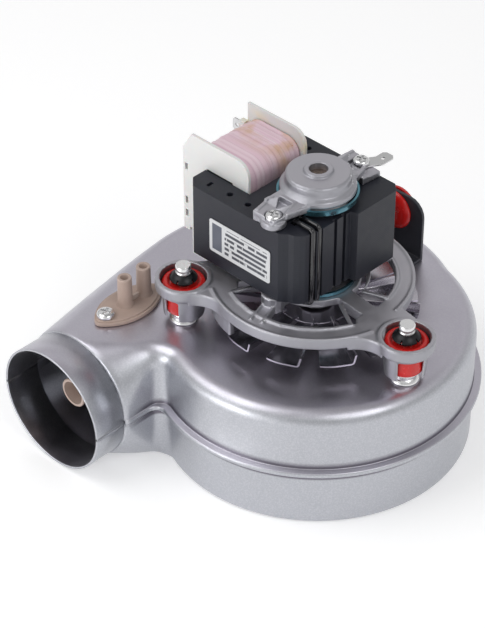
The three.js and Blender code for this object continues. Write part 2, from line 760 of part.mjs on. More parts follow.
// Lacquered copper ring through the slot beside the bore and round the stack's outside.
function shadingRing(xInner, xOuter, y) {
  const r = shading.radius;
  const lift = r + 0.2;
  const z0 = stack.bottom - lift;
  const z1 = stack.top + lift;
  const x0 = Math.min(xInner, xOuter);
  const x1 = Math.max(xInner, xOuter);
  const outline = roundedRect(x0 - r, x1 + r, z0 - r, z1 + r, 1.6, 2);
  const hollow = roundedRect(x0 + r, x1 - r, z0 + r, z1 - r, 0.5, 1);
  const shape = new THREE.Shape(outline);
  shape.holes.push(new THREE.Path(hollow));
  const geometry = new THREE.ExtrudeGeometry(shape, { depth: 2 * r, bevelEnabled: false });
  geometry.rotateX(Math.PI / 2);
  geometry.translate(0, y + r, 0);
  return solid(geometry);
}

add('stator_stack', statorStack(), 'lamination');
add('coil_core', box(coil.coreLeft, coil.coreRight, -stack.windowHalf + gap,
  stack.windowHalf - gap, stack.bottom, stack.top), 'core');
shading.rows.forEach((y, i) => {
  add(`shading_ring_front_${i + 1}`, shadingRing(shading.innerX, shading.noseX, -y), 'lacquer');
  add(`shading_ring_back_${i + 1}`, shadingRing(-shading.innerX, shading.coilX, y), 'lacquer');
});

// A plate lying in the XZ plane, from y0 to y1.
function upright(outline, y0, y1, hole = null) {
  const shape = new THREE.Shape(outline);
  if (hole) {
    shape.holes.push(new THREE.Path(hole));
  }
  const geometry = new THREE.ExtrudeGeometry(shape, { depth: y1 - y0, bevelEnabled: false });
  geometry.rotateX(Math.PI / 2);
  geometry.translate(0, y1, 0);
  return solid(geometry);
}

// ---------------------------------------------------------------- coil

// Bobbin: a square tube round the core leg, two flanges, a slotted post that stands outside the
// stack's end, and the holders of the two terminals on its rear flange.
function bobbin() {
  const { half, flange, tube: skin, coreLeft, coreRight } = coil;
  const { flangeLeft, flangeRight, flangeBottom, flangeTop } = coil;
  const { postLeft, postRight, postTop, postDepth } = terminals;
  const clear = gap + 0.1;
  const outer = clear + skin;
  const core = roundedRect(coreLeft - clear, coreRight + clear, stack.bottom - clear,
    stack.top + clear, 0.2, 1);
  const flangeOutline = [
    new THREE.Vector2(flangeLeft, flangeBottom),
    ...arc(flangeRight - 7, flangeBottom + 7, 7, -90, 0, 4),
    ...arc(flangeRight - 7, flangeTop - 7, 7, 0, 90, 4),
    new THREE.Vector2(flangeLeft, flangeTop),
  ];
  // The front flange's shoulder slopes down to the post.
  const ear = [
    new THREE.Vector2(postLeft, stack.bottom), new THREE.Vector2(flangeLeft + 1, stack.bottom),
    new THREE.Vector2(flangeLeft + 1, flangeTop), new THREE.Vector2(flangeLeft, flangeTop),
    new THREE.Vector2(postLeft, postTop),
  ];
  const pieces = [upright(roundedRect(coreLeft - outer, coreRight + outer,
    stack.bottom - outer, stack.top + outer, 1, 2), -half, half)];
  for (const y0 of [-half, half - flange]) {
    pieces.push(upright(flangeOutline, y0, y0 + flange));
  }
  pieces.push(upright(ear, -half, flange - half));
  pieces.push(box(postLeft, postRight, -half, postDepth - half, stack.bottom - 2, postTop));
  pieces.push(box(postLeft, postLeft + 2.2, -half, half, 108, 116));
  const slots = [];
  for (const z of [93, 100, 118]) {
    slots.push(box(postLeft + 1.2, postLeft + 2.8, -half - 1, postDepth - half + 1, z, z + 3.6));
  }
  for (const z of terminals.bottoms) {
    const top = z + terminals.width;
    pieces.push(box(postLeft + 2, flangeLeft, terminals.y - 1.2, half - 1, z - 1.2, top + 1.2));
    slots.push(box(postLeft, flangeLeft + 0.2, terminals.y - gap,
      terminals.y + terminals.sheet + gap, z - gap, top + gap));
  }
  return joined(pieces)
    .subtract(upright(core, -half - 5, half + 5))
    .subtract(joined(slots));
}

// The wound copper inside its tape, as a ring round the bobbin's tube.
function winding(outerInset, innerInset, clearance) {
  const { left, right, bottom, top, corner, tube: skin, coreLeft, coreRight } = coil;
  const outer = roundedRect(left + outerInset, right - outerInset, bottom + outerInset,
    top - outerInset, corner - outerInset / 2, 6);
  const clear = gap + 0.1 + skin + gap;
  const inner = innerInset === null
    ? roundedRect(coreLeft - clear, coreRight + clear, stack.bottom - clear,
      stack.top + clear, 1.2, 2)
    : roundedRect(left + innerInset, right - innerInset, bottom + innerInset,
      top - innerInset, corner - innerInset / 2, 6);
  const reach = coil.half - coil.flange - clearance;
  return upright(outer, -reach, reach, inner);
}

// Spade terminal that points away from the motor, with its blade upright beside the rear flange.
function coilTerminal(z) {
  const { tip, root, y, sheet, width } = terminals;
  const outline = [
    new THREE.Vector2(root, z), new THREE.Vector2(root, z + width),
    new THREE.Vector2(tip + 1, z + width), new THREE.Vector2(tip, z + width - 1),
    new THREE.Vector2(tip, z + 1), new THREE.Vector2(tip + 1, z),
  ];
  return upright(outline, y, y + sheet, circle(tip + 2.6, z + width / 2, 0.9, tiny));
}

add('bobbin', bobbin(), 'bobbin');
add('coil_winding', winding(coil.tape + gap, null, gap), 'copper');
add('coil_tape', winding(0, coil.tape, gap + 0.1), 'tape');
add('coil_terminal_upper', coilTerminal(terminals.bottoms[0]), 'tin');
add('coil_terminal_lower', coilTerminal(terminals.bottoms[1]), 'tin');

// ---------------------------------------------------------------- end caps and bearings

// Blue-passivated rings that centre the bearing housings on the stator.
add('centring_ring_upper', tube(17.9, 16.9, stack.top + 2.7, capTop.lip - gap,
  { segments: medium }), 'blued');
add('centring_ring_lower', tube(17.9, 16.9, bracket.top + gap, stack.bottom - 2.7,
  { segments: medium }), 'blued');

// Die-cast bearing housing with an ear to each through screw.
function upperEndCap() {
  const { disc, waist, skirt, top, lip, seat } = capTop;
  const housing = turned([
    [0, lip], [skirt, lip], [skirt, lip + 2.6], [disc, lip + 4.2], [disc, top - 0.8],
    [disc - 0.8, top], [6.6, top], [6.2, top + 1.4], [0, top + 1.4],
  ], { segments: medium + 8 });
  const pieces = [housing];
  const cuts = [];
  for (const side of [-1, 1]) {
    const far = side * (screws.y + 3.8);
    const outline = [
      new THREE.Vector2(-8.2, side * waist), new THREE.Vector2(8.2, side * waist),
      new THREE.Vector2(3.6, far), new THREE.Vector2(-8.6, far),
      new THREE.Vector2(-9.6, side * (screws.y - 4)),
    ];
    pieces.push(plate(outline, lip - 2, lip + 2.4));
    // Foot block that stands on the stack round the screw, wider under the earth tab.
    const right = side > 0 ? 8.8 : 3.6;
    const foot = [
      new THREE.Vector2(right, far - side), new THREE.Vector2(-8.6, far),
      new THREE.Vector2(-9.2, side * (screws.y - 4.4)), new THREE.Vector2(right - 1, side * 20),
    ];
    pieces.push(plate(foot, seat, screws.headBase + 0.2));
    const pocket = [
      new THREE.Vector2(-5.4, side * 18.4), new THREE.Vector2(2.8, side * 18.4),
      new THREE.Vector2(-2.4, side * 23.6),
    ];
    cuts.push(plate(pocket, lip - 0.6, lip + 3));
    cuts.push(drum(screws.shank + gap, seat - 1, lip + 4, { y: side * screws.y, segments: tiny }));
    cuts.push(drum(screws.head + gap, screws.headBase - gap, lip + 6,
      { y: side * screws.y }));
  }
  // The rear ear is open above the earth tab.
  cuts.push(box(-screws.head - 2 * gap, 10, screws.y - screws.head - 2 * gap, screws.y + 6,
    screws.headBase - gap, lip + 6));
  // Room for the centring ring, the bearing pocket from below and the oiling hole above it.
  cuts.push(drum(18.2, seat - 1, lip, { segments: medium }));
  cuts.push(drum(6.4, lip - 1, top - 1.2));
  cuts.push(drum(4.2, top - 3, top + 3));
  cuts.push(drum(11.4, lip - 1, lip + 2.2, { segments: medium }));
  return joined(pieces).subtract(joined(cuts));
}

// Self-aligning sintered bronze bearing: a ball with flat ends and a bore.
function bearing(z) {
  const r = 6;
  const half = 4;
  const profile = [[shaft.bore, z - half]];
  for (let i = -2; i <= 2; i += 1) {
    const angle = (i / 2) * Math.asin(half / (r + 0.05));
    profile.push([r * Math.cos(angle), z + r * Math.sin(angle)]);
  }
  profile.push([shaft.bore, z + half], [shaft.bore, z - half]);
  return turned(profile);
}

add('upper_end_cap', upperEndCap(), 'casting');
add('bearing_upper', bearing(132.2), 'bronze');
add('bearing_lower', bearing(77), 'bronze');
add('bearing_retainer_upper', tube(10.9, 6.3, 129.7, 130.5), 'tin');
add('bearing_retainer_lower', tube(10.9, 6.3, bracket.top + gap, bracket.top + 1.1), 'tin');

// The rear screw's head sits on the earth tab.
for (const [side, sign, raise] of [['front', -1, 0], ['back', 1, earth.sheet + gap]]) {
  add(`through_screw_${side}`, panScrew({
    y: sign * screws.y, z: screws.headBase + raise, zEnd: bracket.bottom - 1.6,
    head: screws.head, shank: screws.shank, height: 2.8,
  }), 'bright');
}

// Earth tab: an eye under the rear screw's head, and a spade that points away from the motor.
function earthTab() {
  const { sheet, left, right, rootY, tipY } = earth;
  const z = screws.headBase;
  const neck = screws.head - 0.4;
  const blade = plate([
    new THREE.Vector2(neck, screws.y), new THREE.Vector2(right, rootY),
    new THREE.Vector2(right, tipY - 1.4), new THREE.Vector2(right - 1.4, tipY),
    new THREE.Vector2(left + 1.4, tipY), new THREE.Vector2(left, tipY - 1.4),
    new THREE.Vector2(left, rootY + 2), new THREE.Vector2(-neck, screws.y + 2),
    new THREE.Vector2(-neck, screws.y),
  ], z, z + sheet);
  const eye = drum(screws.head, z, z + sheet, { y: screws.y });
  const hole = drum(1, z - 1, z + 2, { x: (left + right) / 2, y: tipY - 4.6, segments: tiny });
  const bore = drum(screws.shank + gap, z - 1, z + 2, { y: screws.y, segments: tiny });
  return blade.add(eye).subtract(hole).subtract(bore);
}

add('earth_tab', earthTab(), 'tin');
add('rating_label', upright(roundedRect(-34.4, 1.8, 95.4, 112.4, 1.2, 3),
  -stack.half - 0.5, -stack.half - 0.2), 'label');

// ---------------------------------------------------------------- rotor

const rotor = new THREE.Group();
fan.add(rotor);

// Squirrel cage: the lamination core with a cast end ring on each side.
function rotorCore() {
  const { bottom, top } = stack;
  const core = stack.bore - 0.5;
  const ring = core - 1.4;
  return turned([
    [shaft.bore, bottom + 1], [8, bottom + 1], [8, bottom - 1.4], [ring, bottom - 1.4],
    [core, bottom + 1], [core, top - 1], [ring, top + 2.4], [8, top + 2.4], [8, top - 1],
    [shaft.bore, top - 1], [shaft.bore, bottom + 1],
  ], { segments: medium });
}

// One swept blade standing between the wheel's two discs.
function wheelBlade(index) {
  const { eye, radius, sweep, sheet, bottom, top, blades } = wheel;
  const steps = 3;
  const start = (360 / blades) * index;
  const line = [];
  for (let i = 0; i <= steps; i += 1) {
    const along = i / steps;
    line.push(polar(eye + 1 + (radius - eye - 1.6) * along,
      start - sweep * along * (1.25 - 0.25 * along)));
  }
  const outline = [];
  const back = [];
  line.forEach((point, i) => {
    const ahead = line[Math.min(i + 1, steps)].clone().sub(line[Math.max(i - 1, 0)]).normalize();
    const side = new THREE.Vector2(-ahead.y, ahead.x).multiplyScalar(sheet / 2);
    outline.push(point.clone().add(side));
    back.unshift(point.clone().sub(side));
  });
  return plate([...outline, ...back], bottom + 0.4, top - 0.4);
}

// Combustion-air wheel: drive disc on top, swept blades, and a ring round the inlet eye.
function impeller() {
  const { radius, eye, bottom, top, sheet, hub, blades } = wheel;
  const pieces = [
    drum(radius, top - sheet, top, { segments: fine }),
    tube(radius, eye, bottom, bottom + sheet, { segments: fine }),
    drum(hub, top - 9, top - sheet / 2, { segments: coarse }),
  ];
  for (let i = 0; i < blades; i += 1) {
    pieces.push(wheelBlade(i));
  }
  return joined(pieces).subtract(drum(shaft.bore, bottom - 5, top + 5, { segments: coarse }));
}

// One petal of the cooling fan: a tapered sheet, tilted about its own radius.
function petal(index) {
  const { hub, tip, sheet, tilt, count, z } = petals;
  const outline = [
    new THREE.Vector2(hub - 4, -2.6), new THREE.Vector2(hub + 2, -3.4),
    new THREE.Vector2(tip - 3, -8.9), new THREE.Vector2(tip, -6.6),
    new THREE.Vector2(tip - 2, 7), new THREE.Vector2(hub + 2, 3.4),
    new THREE.Vector2(hub - 4, 2.6),
  ];
  const geometry = new THREE.ExtrudeGeometry(new THREE.Shape(outline), {
    depth: sheet, bevelEnabled: false,
  });
  geometry.translate(0, 0, -sheet / 2);
  geometry.rotateX(radians(tilt));
  geometry.rotateZ(radians((360 / count) * index - 3));
  geometry.translate(0, 0, z);
  return solid(geometry);
}

function coolingFan() {
  const { hub, sheet, z, count } = petals;
  const pieces = [drum(hub, z - sheet / 2, z + sheet / 2, { segments: medium })];
  for (let i = 0; i < count; i += 1) {
    pieces.push(petal(i));
  }
  return joined(pieces).subtract(drum(4.6, z - 5, z + 5));
}

function coolingFanHub() {
  const low = volute.height + 1;
  const { z, sheet } = petals;
  return turned([
    [shaft.bore, low], [6.8, low], [6.8, z - sheet / 2 - 0.1], [4.4, z - sheet / 2 - 0.1],
    [4.4, bracket.hubBottom - 0.5], [shaft.bore, bracket.hubBottom - 0.5], [shaft.bore, low],
  ]);
}

function impellerNut() {
  const outline = circle(0, 0, 4.6, 6);
  return plate(outline, wheel.top - 13.2, wheel.top - 9.2, [circle(0, 0, shaft.bore, coarse)]);
}

add('rotor_shaft', drum(shaft.radius, shaft.bottom, shaft.top), 'bright',
  rotor);
add('rotor_core', rotorCore(), 'rotor', rotor);
add('impeller', impeller(), 'sheet', rotor);
add('impeller_nut', impellerNut(), 'bright', rotor);
add('cooling_fan', coolingFan(), 'blade', rotor);
add('cooling_fan_hub', coolingFanHub(), 'blackPlastic', rotor);

// ---------------------------------------------------------------- placing

const bounds = new THREE.Box3().setFromObject(fan);
const centre = bounds.getCenter(new THREE.Vector3());
fan.position.set(-centre.x, -centre.y, -bounds.min.z);

export default fan;
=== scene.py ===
"""Combustion fan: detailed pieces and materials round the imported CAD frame.

Pieces are built in millimetres from the shaft axis, with Z = 0 at the underside of the volute and
the outlet along -Y, and are turned into metres in the frame as they are finished.
"""
import json
import math

import bmesh
import bpy
from mathutils import Matrix, Vector


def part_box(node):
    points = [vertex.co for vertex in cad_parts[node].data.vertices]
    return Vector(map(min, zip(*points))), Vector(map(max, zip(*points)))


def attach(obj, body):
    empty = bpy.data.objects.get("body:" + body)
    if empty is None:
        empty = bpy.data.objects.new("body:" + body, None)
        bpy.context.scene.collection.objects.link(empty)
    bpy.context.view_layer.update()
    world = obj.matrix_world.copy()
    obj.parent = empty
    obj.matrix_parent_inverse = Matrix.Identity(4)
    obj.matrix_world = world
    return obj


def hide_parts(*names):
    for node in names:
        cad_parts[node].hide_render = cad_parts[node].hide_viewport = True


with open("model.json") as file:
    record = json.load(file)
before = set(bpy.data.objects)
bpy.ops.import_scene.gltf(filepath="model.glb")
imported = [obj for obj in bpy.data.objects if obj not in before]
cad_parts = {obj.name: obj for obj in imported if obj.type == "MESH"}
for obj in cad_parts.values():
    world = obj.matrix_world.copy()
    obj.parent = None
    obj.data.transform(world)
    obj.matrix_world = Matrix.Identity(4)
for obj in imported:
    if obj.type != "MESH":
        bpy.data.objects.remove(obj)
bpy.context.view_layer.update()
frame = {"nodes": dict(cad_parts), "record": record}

record = frame["record"]
MM = 0.001
TAU = 2 * math.pi
AXIS = Vector(record["behaviour"]["joints"][0]["pos_m"])
ORIGIN = Vector((AXIS.x, AXIS.y, 0))
SLOTS = {part["node"]: part["material_slot"] for part in record["subparts"]}
BODIES = {node: body for body, nodes in record["behaviour"]["bodies"].items() for node in nodes}
BROAD = 14  # faces over this many square millimetres are shaded flat
CAD_CREASE = math.radians(30)  # edges that turn more than this are rounded
MIX_BELOW, MIX_ABOVE = 6, 7  # a Mix node's two colour inputs


# -------------------- places

def extent(node):
    """A CAD node's box in millimetres from the shaft axis: x0, y0, z0, x1, y1, z1."""
    low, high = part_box(node)
    return [round((v - o) / MM, 3) for corner in (low, high) for v, o in zip(corner, ORIGIN)]


def middle(node):
    """Centre of a CAD node's box in plan."""
    x0, y0, _, x1, y1, _ = extent(node)
    return (x0 + x1) / 2, (y0 + y1) / 2


def polar(radius, degrees):
    angle = math.radians(degrees)
    return radius * math.cos(angle), radius * math.sin(angle)


def arc(cx, cy, radius, start, end, steps):
    points = []
    for i in range(steps + 1):
        x, y = polar(radius, start + (end - start) * i / steps)
        points.append((cx + x, cy + y))
    return points


def circle(cx, cy, radius, segments=24):
    return arc(cx, cy, radius, 0, 360 - 360 / segments, segments - 1)


def rounded_box(x0, x1, y0, y1, radius, steps):
    """A rounded rectangle, anticlockwise."""
    return (arc(x1 - radius, y0 + radius, radius, -90, 0, steps)
            + arc(x1 - radius, y1 - radius, radius, 0, 90, steps)
            + arc(x0 + radius, y1 - radius, radius, 90, 180, steps)
            + arc(x0 + radius, y0 + radius, radius, 180, 270, steps))


def blend_between(low, high, along):
    return low + (high - low) * min(max(along, 0), 1)


# -------------------- mesh tools

def grid(bm, rows, loop_rows=False, loop_columns=False):
    """Quads between rows of points that all have the same length."""
    lines = [[bm.verts.new(p) for p in row] for row in rows]
    down = len(lines) if loop_rows else len(lines) - 1
    across = len(lines[0]) if loop_columns else len(lines[0]) - 1
    for r in range(down):
        for c in range(across):
            a, b = lines[r], lines[(r + 1) % len(lines)]
            d = (c + 1) % len(a)
            bm.faces.new((a[c], a[d], b[d], b[c]))
    return lines


def border(lines):
    """The vertices round the edge of a grid, in order."""
    return (lines[0] + [line[-1] for line in lines[1:-1]] + lines[-1][::-1]
            + [line[0] for line in lines[-2:0:-1]])


def fill(bm, outer, holes=()):
    """A flat sheet inside one loop of vertices and outside the others."""
    edges = []
    for loop in (outer, *holes):
        for a, b in zip(loop, loop[1:] + loop[:1]):
            edges.append(bm.edges.get((a, b)) or bm.edges.new((a, b)))
    bmesh.ops.triangle_fill(bm, edges=edges, use_beauty=True)


def turned(bm, profile, x=0, y=0, segments=64, start=0, end=360):
    """A profile of (radius, z) points turned about a vertical axis, closed if it ends where it
    starts; with an angle range it becomes a sector with flat ends."""
    whole = end - start >= 360
    closed = profile[0] == profile[-1]
    points = profile[:-1] if closed else profile
    steps = segments if whole else max(2, round(segments * (end - start) / 360))
    rows = []
    for i in range(steps if whole else steps + 1):
        c, s = polar(1, start + (end - start) * i / steps)
        rows.append([(x + r * c, y + r * s, z) for r, z in points])
    lines = grid(bm, rows, loop_rows=whole, loop_columns=closed)
    if closed and not whole:
        bm.faces.new(lines[0])
        bm.faces.new(lines[-1])
    return lines


def lathe_solid(bm, profile, x=0, y=0, segments=48):
    """A solid of revolution whose profile starts and ends on the axis."""
    lines = turned(bm, profile, x, y, segments)
    for end in (0, -1):
        bmesh.ops.pointmerge(bm, verts=[row[end] for row in lines], merge_co=(x, y, profile[end][1]))


def slab(bm, outline, z0, z1, edge, holes=()):
    """A plate with rounded edges from a plan outline and its holes."""
    curve = bpy.data.curves.new("slab", "CURVE")
    curve.dimensions = "2D"
    curve.fill_mode = "BOTH"
    curve.extrude = (z1 - z0) / 2 - edge
    curve.bevel_depth = edge
    curve.offset = -edge
    curve.bevel_resolution = 1
    for points in (outline, *holes):
        spline = curve.splines.new("POLY")
        spline.points.add(len(points) - 1)
        for point, (x, y) in zip(spline.points, points):
            point.co = (x, y, 0, 1)
        spline.use_cyclic_u = True
    holder = bpy.data.objects.new("slab", curve)
    mesh = bpy.data.meshes.new_from_object(holder)
    mesh.transform(Matrix.Translation((0, 0, (z0 + z1) / 2)))
    bm.from_mesh(mesh)
    bpy.data.objects.remove(holder)
    bpy.data.curves.remove(curve)
    bpy.data.meshes.remove(mesh)


def rod(bm, path, radius, sides=14):
    """A closed round bar along a loop of points."""
    rows = []
    points = [Vector(p) for p in path]
    side = Vector((0, 1, 0))
    for i, here in enumerate(points):
        along = (points[(i + 1) % len(points)] - points[i - 1]).normalized()
        up = along.cross(side).normalized()
        turns = [TAU * k / sides for k in range(sides)]
        rows.append([here + (side * math.cos(a) + up * math.sin(a)) * radius for a in turns])
    grid(bm, rows, loop_rows=True, loop_columns=True)


def cad_copy(node):
    """A CAD node's own shape as a mesh in millimetres, with its shared vertices merged."""
    bm = bmesh.new()
    bm.from_mesh(frame["nodes"][node].data)
    bm.transform(Matrix.Scale(1 / MM, 4) @ Matrix.Translation(-ORIGIN))
    bmesh.ops.remove_doubles(bm, verts=bm.verts, dist=0.005)
    return bm


def shaded_smooth(mesh, sharp):
    """Smooth shading but for the edges that turn more than sharp degrees."""
    mesh.polygons.foreach_set("use_smooth", [True] * len(mesh.polygons))
    mesh.set_sharp_from_angle(angle=math.radians(sharp))


def object_from(name, bm, sharp=38):
    """A linked, smoothly shaded object in metres from a mesh in millimetres."""
    mesh = bpy.data.meshes.new(name)
    bm.to_mesh(mesh)
    bm.free()
    mesh.transform(Matrix.Translation(ORIGIN) @ Matrix.Scale(MM, 4))
    shaded_smooth(mesh, sharp)
    obj = bpy.data.objects.new(name, mesh)
    bpy.context.scene.collection.objects.link(obj)
    return obj


def applied(obj, sharp):
    """Turns an object's modifiers into its mesh."""
    evaluated = obj.evaluated_get(bpy.context.evaluated_depsgraph_get())
    mesh = bpy.data.meshes.new_from_object(evaluated)
    obj.modifiers.clear()
    obj.data = mesh
    shaded_smooth(mesh, sharp)


def stands_for(obj, node, material):
    """Puts a detailed piece in the place of its CAD node: same body, and the given material."""
    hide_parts(node)
    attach(obj, BODIES[node])
    obj.data.materials.clear()
    obj.data.materials.append(material)
    return obj


def piece(node, bm, material, sharp=38):
    """A detailed piece in the place of a CAD node, from a closed mesh in millimetres."""
    bmesh.ops.recalc_face_normals(bm, faces=bm.faces)
    return stands_for(object_from(node + "_fine", bm, sharp), node, material)


def refined(node, edge, material, flat_over=BROAD):
    """The CAD node's own shape with its sharp edges rounded and its broad faces kept flat."""
    bm = cad_copy(node)
    bmesh.ops.dissolve_limit(bm, angle_limit=math.radians(1), verts=bm.verts, edges=bm.edges)
    sharp = [e for e in bm.edges if len(e.link_faces) == 2 and e.calc_face_angle(0) > CAD_CREASE]
    bmesh.ops.bevel(bm, geom=sharp, offset=edge, segments=2, affect="EDGES", profile=0.5,
                    clamp_overlap=True)
    obj = piece(node, bm, material)
    for face in obj.data.polygons:
        if face.area > flat_over * MM ** 2:
            face.use_smooth = False
    weights = obj.modifiers.new("even_shading", "WEIGHTED_NORMAL")
    weights.keep_sharp = True


def cast_from(node, extra, material, voxel=0.5, rounds=5, change=None):
    """A casting: the CAD shape and some extra solids melted into one skin with soft corners.
    change may move the CAD shape's vertices first."""
    bm = cad_copy(node)
    if change:
        change(bm)
    mesh = bpy.data.meshes.new("extra")
    extra.to_mesh(mesh)
    extra.free()
    bm.from_mesh(mesh)
    bpy.data.meshes.remove(mesh)
    bmesh.ops.recalc_face_normals(bm, faces=bm.faces)
    obj = object_from(node + "_fine", bm)
    melt = obj.modifiers.new("melt", "REMESH")
    melt.mode = "VOXEL"
    melt.voxel_size = voxel * MM
    soften = obj.modifiers.new("soften", "SMOOTH")
    soften.factor = 0.5
    soften.iterations = rounds
    applied(obj, sharp=80)
    stands_for(obj, node, material)


# -------------------- finishes

def tools_of(material):
    return material.node_tree.nodes, material.node_tree.links


def noise(material, scale, detail):
    """A noise laid over the object's own coordinates."""
    nodes, links = tools_of(material)
    node = nodes.new("ShaderNodeTexNoise")
    node.inputs["Scale"].default_value = scale
    node.inputs["Detail"].default_value = detail
    links.new(nodes.new("ShaderNodeTexCoord").outputs["Object"], node.inputs["Vector"])
    return node.outputs["Fac"]


def ramp(material, socket, low, high, to_low=0.0, to_high=1.0):
    """A mask that goes from to_low to to_high as the socket goes from low to high."""
    nodes, links = tools_of(material)
    node = nodes.new("ShaderNodeMapRange")
    node.inputs["From Min"].default_value = low
    node.inputs["From Max"].default_value = high
    node.inputs["To Min"].default_value = to_low
    node.inputs["To Max"].default_value = to_high
    links.new(socket, node.inputs["Value"])
    return node.outputs["Result"]


def finish(name, colour, rough, metallic=0.0, tint=0.08, mottle=60, rough_spread=0.05, bump=0.0,
           grain=600, coat=0.0):
    """A material with a mottled tint and roughness, and a fine raised grain of bump millimetres.
    mottle and grain are the scales of the two noises."""
    material = bpy.data.materials.new(name)
    material.use_nodes = True
    nodes, links = tools_of(material)
    shader = nodes["Principled BSDF"]
    shader.inputs["Metallic"].default_value = metallic
    shader.inputs["Coat Weight"].default_value = coat
    patches = noise(material, mottle, 5)
    colours = nodes.new("ShaderNodeMix")
    colours.data_type = "RGBA"
    colours.inputs[MIX_BELOW].default_value = (*[c * (1 - tint) for c in colour], 1)
    colours.inputs[MIX_ABOVE].default_value = (*[min(c * (1 + tint), 1) for c in colour], 1)
    links.new(patches, colours.inputs[0])
    links.new(colours.outputs[2], shader.inputs["Base Color"])
    dull = ramp(material, patches, 0.3, 0.7, rough - rough_spread, rough + rough_spread)
    links.new(dull, shader.inputs["Roughness"])
    if bump:
        raised = nodes.new("ShaderNodeBump")
        raised.name = "raised"
        raised.inputs["Strength"].default_value = 1
        raised.inputs["Distance"].default_value = bump * MM
        links.new(noise(material, grain, 3), raised.inputs["Height"])
        links.new(raised.outputs["Normal"], shader.inputs["Normal"])
    return material


def overlay(material, mask, colour):
    """Lays a second colour over a material where a 0 to 1 mask socket says so."""
    nodes, links = tools_of(material)
    shader = nodes["Principled BSDF"]
    below = shader.inputs["Base Color"].links[0].from_socket
    mix = nodes.new("ShaderNodeMix")
    mix.data_type = "RGBA"
    mix.inputs[MIX_ABOVE].default_value = (*colour, 1)
    links.new(below, mix.inputs[MIX_BELOW])
    links.new(mask, mix.inputs[0])
    links.new(mix.outputs[2], shader.inputs["Base Color"])


def computed(material, operation, *values):
    """The result of a Math node that is given sockets or plain numbers."""
    nodes, links = tools_of(material)
    node = nodes.new("ShaderNodeMath")
    node.operation = operation
    for value, socket in zip(values, node.inputs):
        if isinstance(value, (int, float)):
            socket.default_value = value
        else:
            links.new(value, socket)
    return node.outputs["Value"]


def times(material, a, b):
    return computed(material, "MULTIPLY", a, b)


def between(material, socket, low, high, soft):
    """A mask that is 1 between two values of a socket, with a soft border inside each."""
    return times(material, ramp(material, socket, low, low + soft),
                 ramp(material, socket, high, high - soft))


def axis_of(material, kind, axis):
    """One coordinate, in metres, of the object position or of the surface normal."""
    nodes, links = tools_of(material)
    if kind == "normal":
        source = nodes.new("ShaderNodeNewGeometry").outputs["Normal"]
    else:
        source = nodes.new("ShaderNodeTexCoord").outputs["Object"]
    split = nodes.new("ShaderNodeSeparateXYZ")
    links.new(source, split.inputs["Vector"])
    return split.outputs[axis]


def noise_mask(material, scale, low, high):
    """Patches where a noise is over low, full where it is over high."""
    return ramp(material, noise(material, scale, 4), low, high)


def worn_edges(material, colour, low, high):
    """Bright metal where edges have been rubbed."""
    nodes, _ = tools_of(material)
    edge = nodes.new("ShaderNodeNewGeometry").outputs["Pointiness"]
    overlay(material, ramp(material, edge, low, high), colour)


def sheet_finish():
    """Aluminised steel: satin, with a fine spangle, and painted light: a paler violet on faces that
    point up.
    """
    material = finish("sheet", (0.455, 0.465, 0.50), 0.37, 1.0, tint=0.06, mottle=90, bump=0.02,
                      grain=1100)
    # Painted light: faces that point up are made paler and more violet, as if lit from above.
    painted_top_light = ramp(material, axis_of(material, "normal", "Z"), 0.6, 1.0, 0.0, 0.8)
    overlay(material, painted_top_light, (0.62, 0.585, 0.67))
    spangle = ramp(material, noise_mask(material, 1400, 0.45, 0.62), 0, 1, 0.0, 0.28)
    overlay(material, spangle, (0.68, 0.68, 0.71))
    return material


def casting_finish():
    """Die-cast aluminium: duller than sheet, with painted light on faces that point up, and bright
    along its edges.
    """
    material = finish("casting", (0.36, 0.36, 0.39), 0.42, 0.88, tint=0.08, mottle=160,
                      rough_spread=0.06, bump=0.025, grain=1100)
    # Painted light: faces that point up are made paler.
    painted_top_light = ramp(material, axis_of(material, "normal", "Z"), 0.8, 1.0, 0.0, 0.6)
    overlay(material, painted_top_light, (0.60, 0.58, 0.63))
    worn_edges(material, (0.72, 0.72, 0.74), 0.53, 0.6)
    return material


def lamination_finish():
    """Blue-black oxide, with the thin sheets showing as fine lines on the upright sides."""
    material = finish("lamination", (0.015, 0.0165, 0.024), 0.42, tint=0.25, mottle=240,
                      rough_spread=0.06, bump=0.01, grain=1500)
    nodes, links = tools_of(material)
    nodes["Principled BSDF"].inputs["Specular IOR Level"].default_value = 0.35
    bands = nodes.new("ShaderNodeTexWave")
    bands.wave_type = "BANDS"
    bands.bands_direction = "Z"
    bands.inputs["Scale"].default_value = 310
    bands.inputs["Distortion"].default_value = 0.6
    links.new(nodes.new("ShaderNodeTexCoord").outputs["Object"], bands.inputs["Vector"])
    lines = nodes.new("ShaderNodeBump")
    on_sides = ramp(material, axis_of(material, "normal", "Z"), 0.3, 0.7, 0.5, 0.0)
    links.new(on_sides, lines.inputs["Strength"])
    lines.inputs["Distance"].default_value = 0.03 * MM
    links.new(bands.outputs["Fac"], lines.inputs["Height"])
    links.new(nodes["raised"].outputs["Normal"], lines.inputs["Normal"])
    links.new(lines.outputs["Normal"], nodes["Principled BSDF"].inputs["Normal"])
    return material


